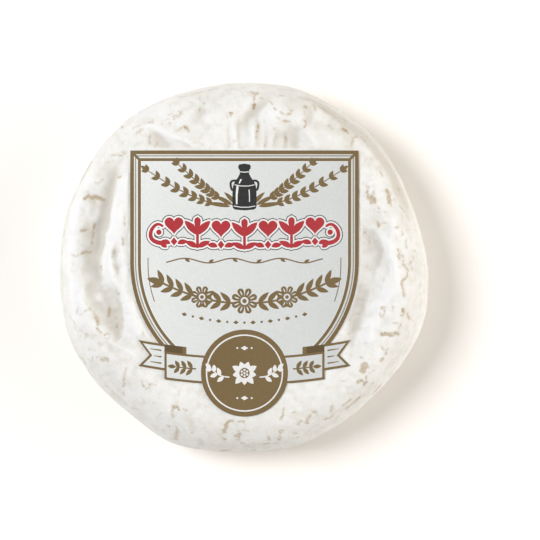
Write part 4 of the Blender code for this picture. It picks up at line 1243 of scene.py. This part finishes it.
def make_label():
    outline = label_outline()
    drawn = label_print()
    names = list(INKS)
    points, edges = [], []

    def run(shape):
        start = len(points)
        points.extend((float(u), float(v)) for u, v in shape)
        edges.extend((start + i, start + (i + 1) % len(shape)) for i in range(len(shape)))

    run(outline)
    for _, shape in drawn:
        run(shape)
    grid = spread(3.6, outline, 1.4)
    points.extend((float(u), float(v)) for u, v in grid)
    verts, _, faces, origins, _, _ = delaunay_2d_cdt(points, edges, [], 0, 1e-4)
    flat = np.array([tuple(v) for v in verts])
    faces = np.array([f for f in faces])
    middle = flat[faces].mean(1)
    keep = winding(middle, outline)
    faces, middle = faces[keep], middle[keep]
    ink = np.full(len(faces), names.index("brown"))
    for name, shape in drawn:
        ring = np.array(shape)
        low, high = ring.min(0), ring.max(0)
        near = np.flatnonzero(((middle >= low) & (middle <= high)).all(1))
        if len(near):
            hit = near[winding(middle[near], [tuple(p) for p in shape])]
            ink[hit] = names.index(name)

    used = np.unique(faces)
    renumber = np.full(len(flat), -1)
    renumber[used] = np.arange(len(used))
    flat, faces = flat[used], renumber[faces]
    # each face anticlockwise seen from above; v runs down the page
    a, b, c = (flat[faces[:, k]] for k in range(3))
    turned = (b[:, 0] - a[:, 0]) * (c[:, 1] - a[:, 1]) - (b[:, 1] - a[:, 1]) * (c[:, 0] - a[:, 0]) > 0
    faces[turned] = faces[turned][:, ::-1]

    # the free edges, in order, are the sheet's rim
    ends = np.concatenate([faces[:, [0, 1]], faces[:, [1, 2]], faces[:, [2, 0]]])
    seen = {}
    for i, j in ends:
        seen[(int(i), int(j))] = True
    rim = [(i, j) for i, j in seen if (j, i) not in seen]

    px, py = to_metres(flat[:, 0] + LABEL_X, flat[:, 1])
    cockle = np.array([noise.noise((x / 0.017, y / 0.017, 2.7)) for x, y in zip(px, py)])
    lift = 0.00010 + 0.00010 * cockle
    low = top_height(px, py) + PAPER_GAP + np.maximum(lift, 0)
    n = len(flat)
    # the underside keeps only the rim and a coarse grid
    rim_ids = sorted({i for e in rim for i in e})
    under_grid = spread(12.0, outline, 5.0)
    under_points = [tuple(map(float, flat[i])) for i in rim_ids]
    place = {i: k for k, i in enumerate(rim_ids)}
    under_edges = [(place[i], place[j]) for i, j in rim]
    under_points += [tuple(map(float, p)) for p in under_grid]
    uverts, _, ufaces, uorig, _, _ = delaunay_2d_cdt(under_points, under_edges, [], 0, 1e-6)
    uflat = np.array([tuple(v) for v in uverts])
    ufaces = np.array([f for f in ufaces])
    ufaces = ufaces[winding(uflat[ufaces].mean(1), outline)]
    ux, uy = to_metres(uflat[:, 0] + LABEL_X, uflat[:, 1])
    ulow = top_height(ux, uy) + PAPER_GAP + np.maximum(
        0.00010 + 0.00010 * np.array([noise.noise((x / 0.017, y / 0.017, 2.7)) for x, y in zip(ux, uy)]), 0
    )
    a, b, c = (uflat[ufaces[:, k]] for k in range(3))
    turned = (b[:, 0] - a[:, 0]) * (c[:, 1] - a[:, 1]) - (b[:, 1] - a[:, 1]) * (c[:, 0] - a[:, 0]) < 0
    ufaces[turned] = ufaces[turned][:, ::-1]
    below = {}
    for k, orig in enumerate(uorig):
        for o in orig:
            if o < len(rim_ids):
                below[rim_ids[o]] = n + k
    co = np.concatenate([
        np.stack([px, py, low + PAPER_THICK], 1), np.stack([ux, uy, ulow], 1)
    ])
    all_faces = [tuple(map(int, f)) for f in faces]
    all_faces += [tuple(int(i) + n for i in f) for f in ufaces]
    all_faces += [(int(j), int(i), below[i], below[j]) for i, j in rim]
    mesh = bpy.data.meshes.new("label_sheet")
    mesh.from_pydata([tuple(p) for p in co], [], all_faces)
    slots = np.full(len(all_faces), names.index("pale"), np.int32)
    slots[: len(faces)] = ink
    mesh.polygons.foreach_set("material_index", slots)
    for name in names:
        mesh.materials.append(paper_paint("label_" + name, *INKS[name]))
    mesh.shade_smooth()
    mesh.set_sharp_from_angle(angle=math.radians(45))
    mesh.update()
    label = bpy.data.objects.new("printed_label", mesh)
    scene.collection.objects.link(label)
    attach(label, "root")
    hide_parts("label")
    return label


# ---------------------------------------------------------------- floor, light and camera


def make_stage():
    paint = Paint("floor_white", Roughness=0.9, Specular_IOR_Level=0.1)
    mottle = paint.noise(0.05, 2)
    paint.put(paint.shader, "Base Color", paint.mix(mottle, (0.965, 0.926, 0.874), (0.975, 0.936, 0.884)))
    mesh = bpy.data.meshes.new("floor")
    s = 1.6
    mesh.from_pydata([(-s, -s, 0), (s, -s, 0), (s, s, 0), (-s, s, 0)], [], [(0, 1, 2, 3)])
    mesh.materials.append(paint.material)
    floor = bpy.data.objects.new("floor", mesh)
    floor.location.z = -0.00002
    scene.collection.objects.link(floor)

    world = bpy.data.worlds.new("fill")
    world.use_nodes = True
    back = world.node_tree.nodes["Background"]
    back.inputs["Color"].default_value = (1.0, 0.955, 0.885, 1)
    # most of the fill comes from the upper left
    nodes, links = world.node_tree.nodes, world.node_tree.links
    where = nodes.new("ShaderNodeTexCoord")
    across = nodes.new("ShaderNodeVectorMath")
    across.operation = "DOT_PRODUCT"
    links.new(where.outputs["Generated"], across.inputs[0])
    across.inputs[1].default_value = (-0.8, 0.6, 0.0)
    fade = nodes.new("ShaderNodeMapRange")
    links.new(across.outputs["Value"], fade.inputs["Value"])
    fade.inputs["From Min"].default_value = -1.0
    fade.inputs["From Max"].default_value = 1.0
    fade.inputs["To Min"].default_value = 0.0
    fade.inputs["To Max"].default_value = 0.46
    links.new(fade.outputs["Result"], back.inputs["Strength"])
    scene.world = world

    def area(name, direction, distance, size, power, colour):
        lamp = bpy.data.lights.new(name, "AREA")
        lamp.shape = "ELLIPSE"
        lamp.size, lamp.size_y = size
        lamp.energy = power
        lamp.color = colour
        obj = bpy.data.objects.new(name, lamp)
        from mathutils import Vector
        d = Vector(direction).normalized()
        obj.location = d * distance
        obj.rotation_euler = d.to_track_quat("Z", "Y").to_euler()
        obj.visible_camera = False
        scene.collection.objects.link(obj)

    e = math.radians(54)
    area("key", (-0.96 * math.cos(e), 0.27 * math.cos(e), math.sin(e)), 1.3, (0.7, 0.7), 14.4, (0.965, 0.99, 1.045))
    e = math.radians(24)
    area("card", (0.995 * math.cos(e), -0.1 * math.cos(e), math.sin(e)), 1.1, (2.4, 0.7), 14.8, (1.0, 0.978, 0.96))

    camera = bpy.data.cameras.new("camera")
    camera.sensor_width = 36
    camera.lens = 219.6
    camera.clip_start = 0.01
    eye = bpy.data.objects.new("camera", camera)
    eye.location = (0.00779, -0.00091, 1.0)
    scene.collection.objects.link(eye)
    scene.camera = eye
    scene.view_settings.view_transform = "Standard"
    scene.view_settings.look = "None"


make_cheese()
make_label()
make_stage()
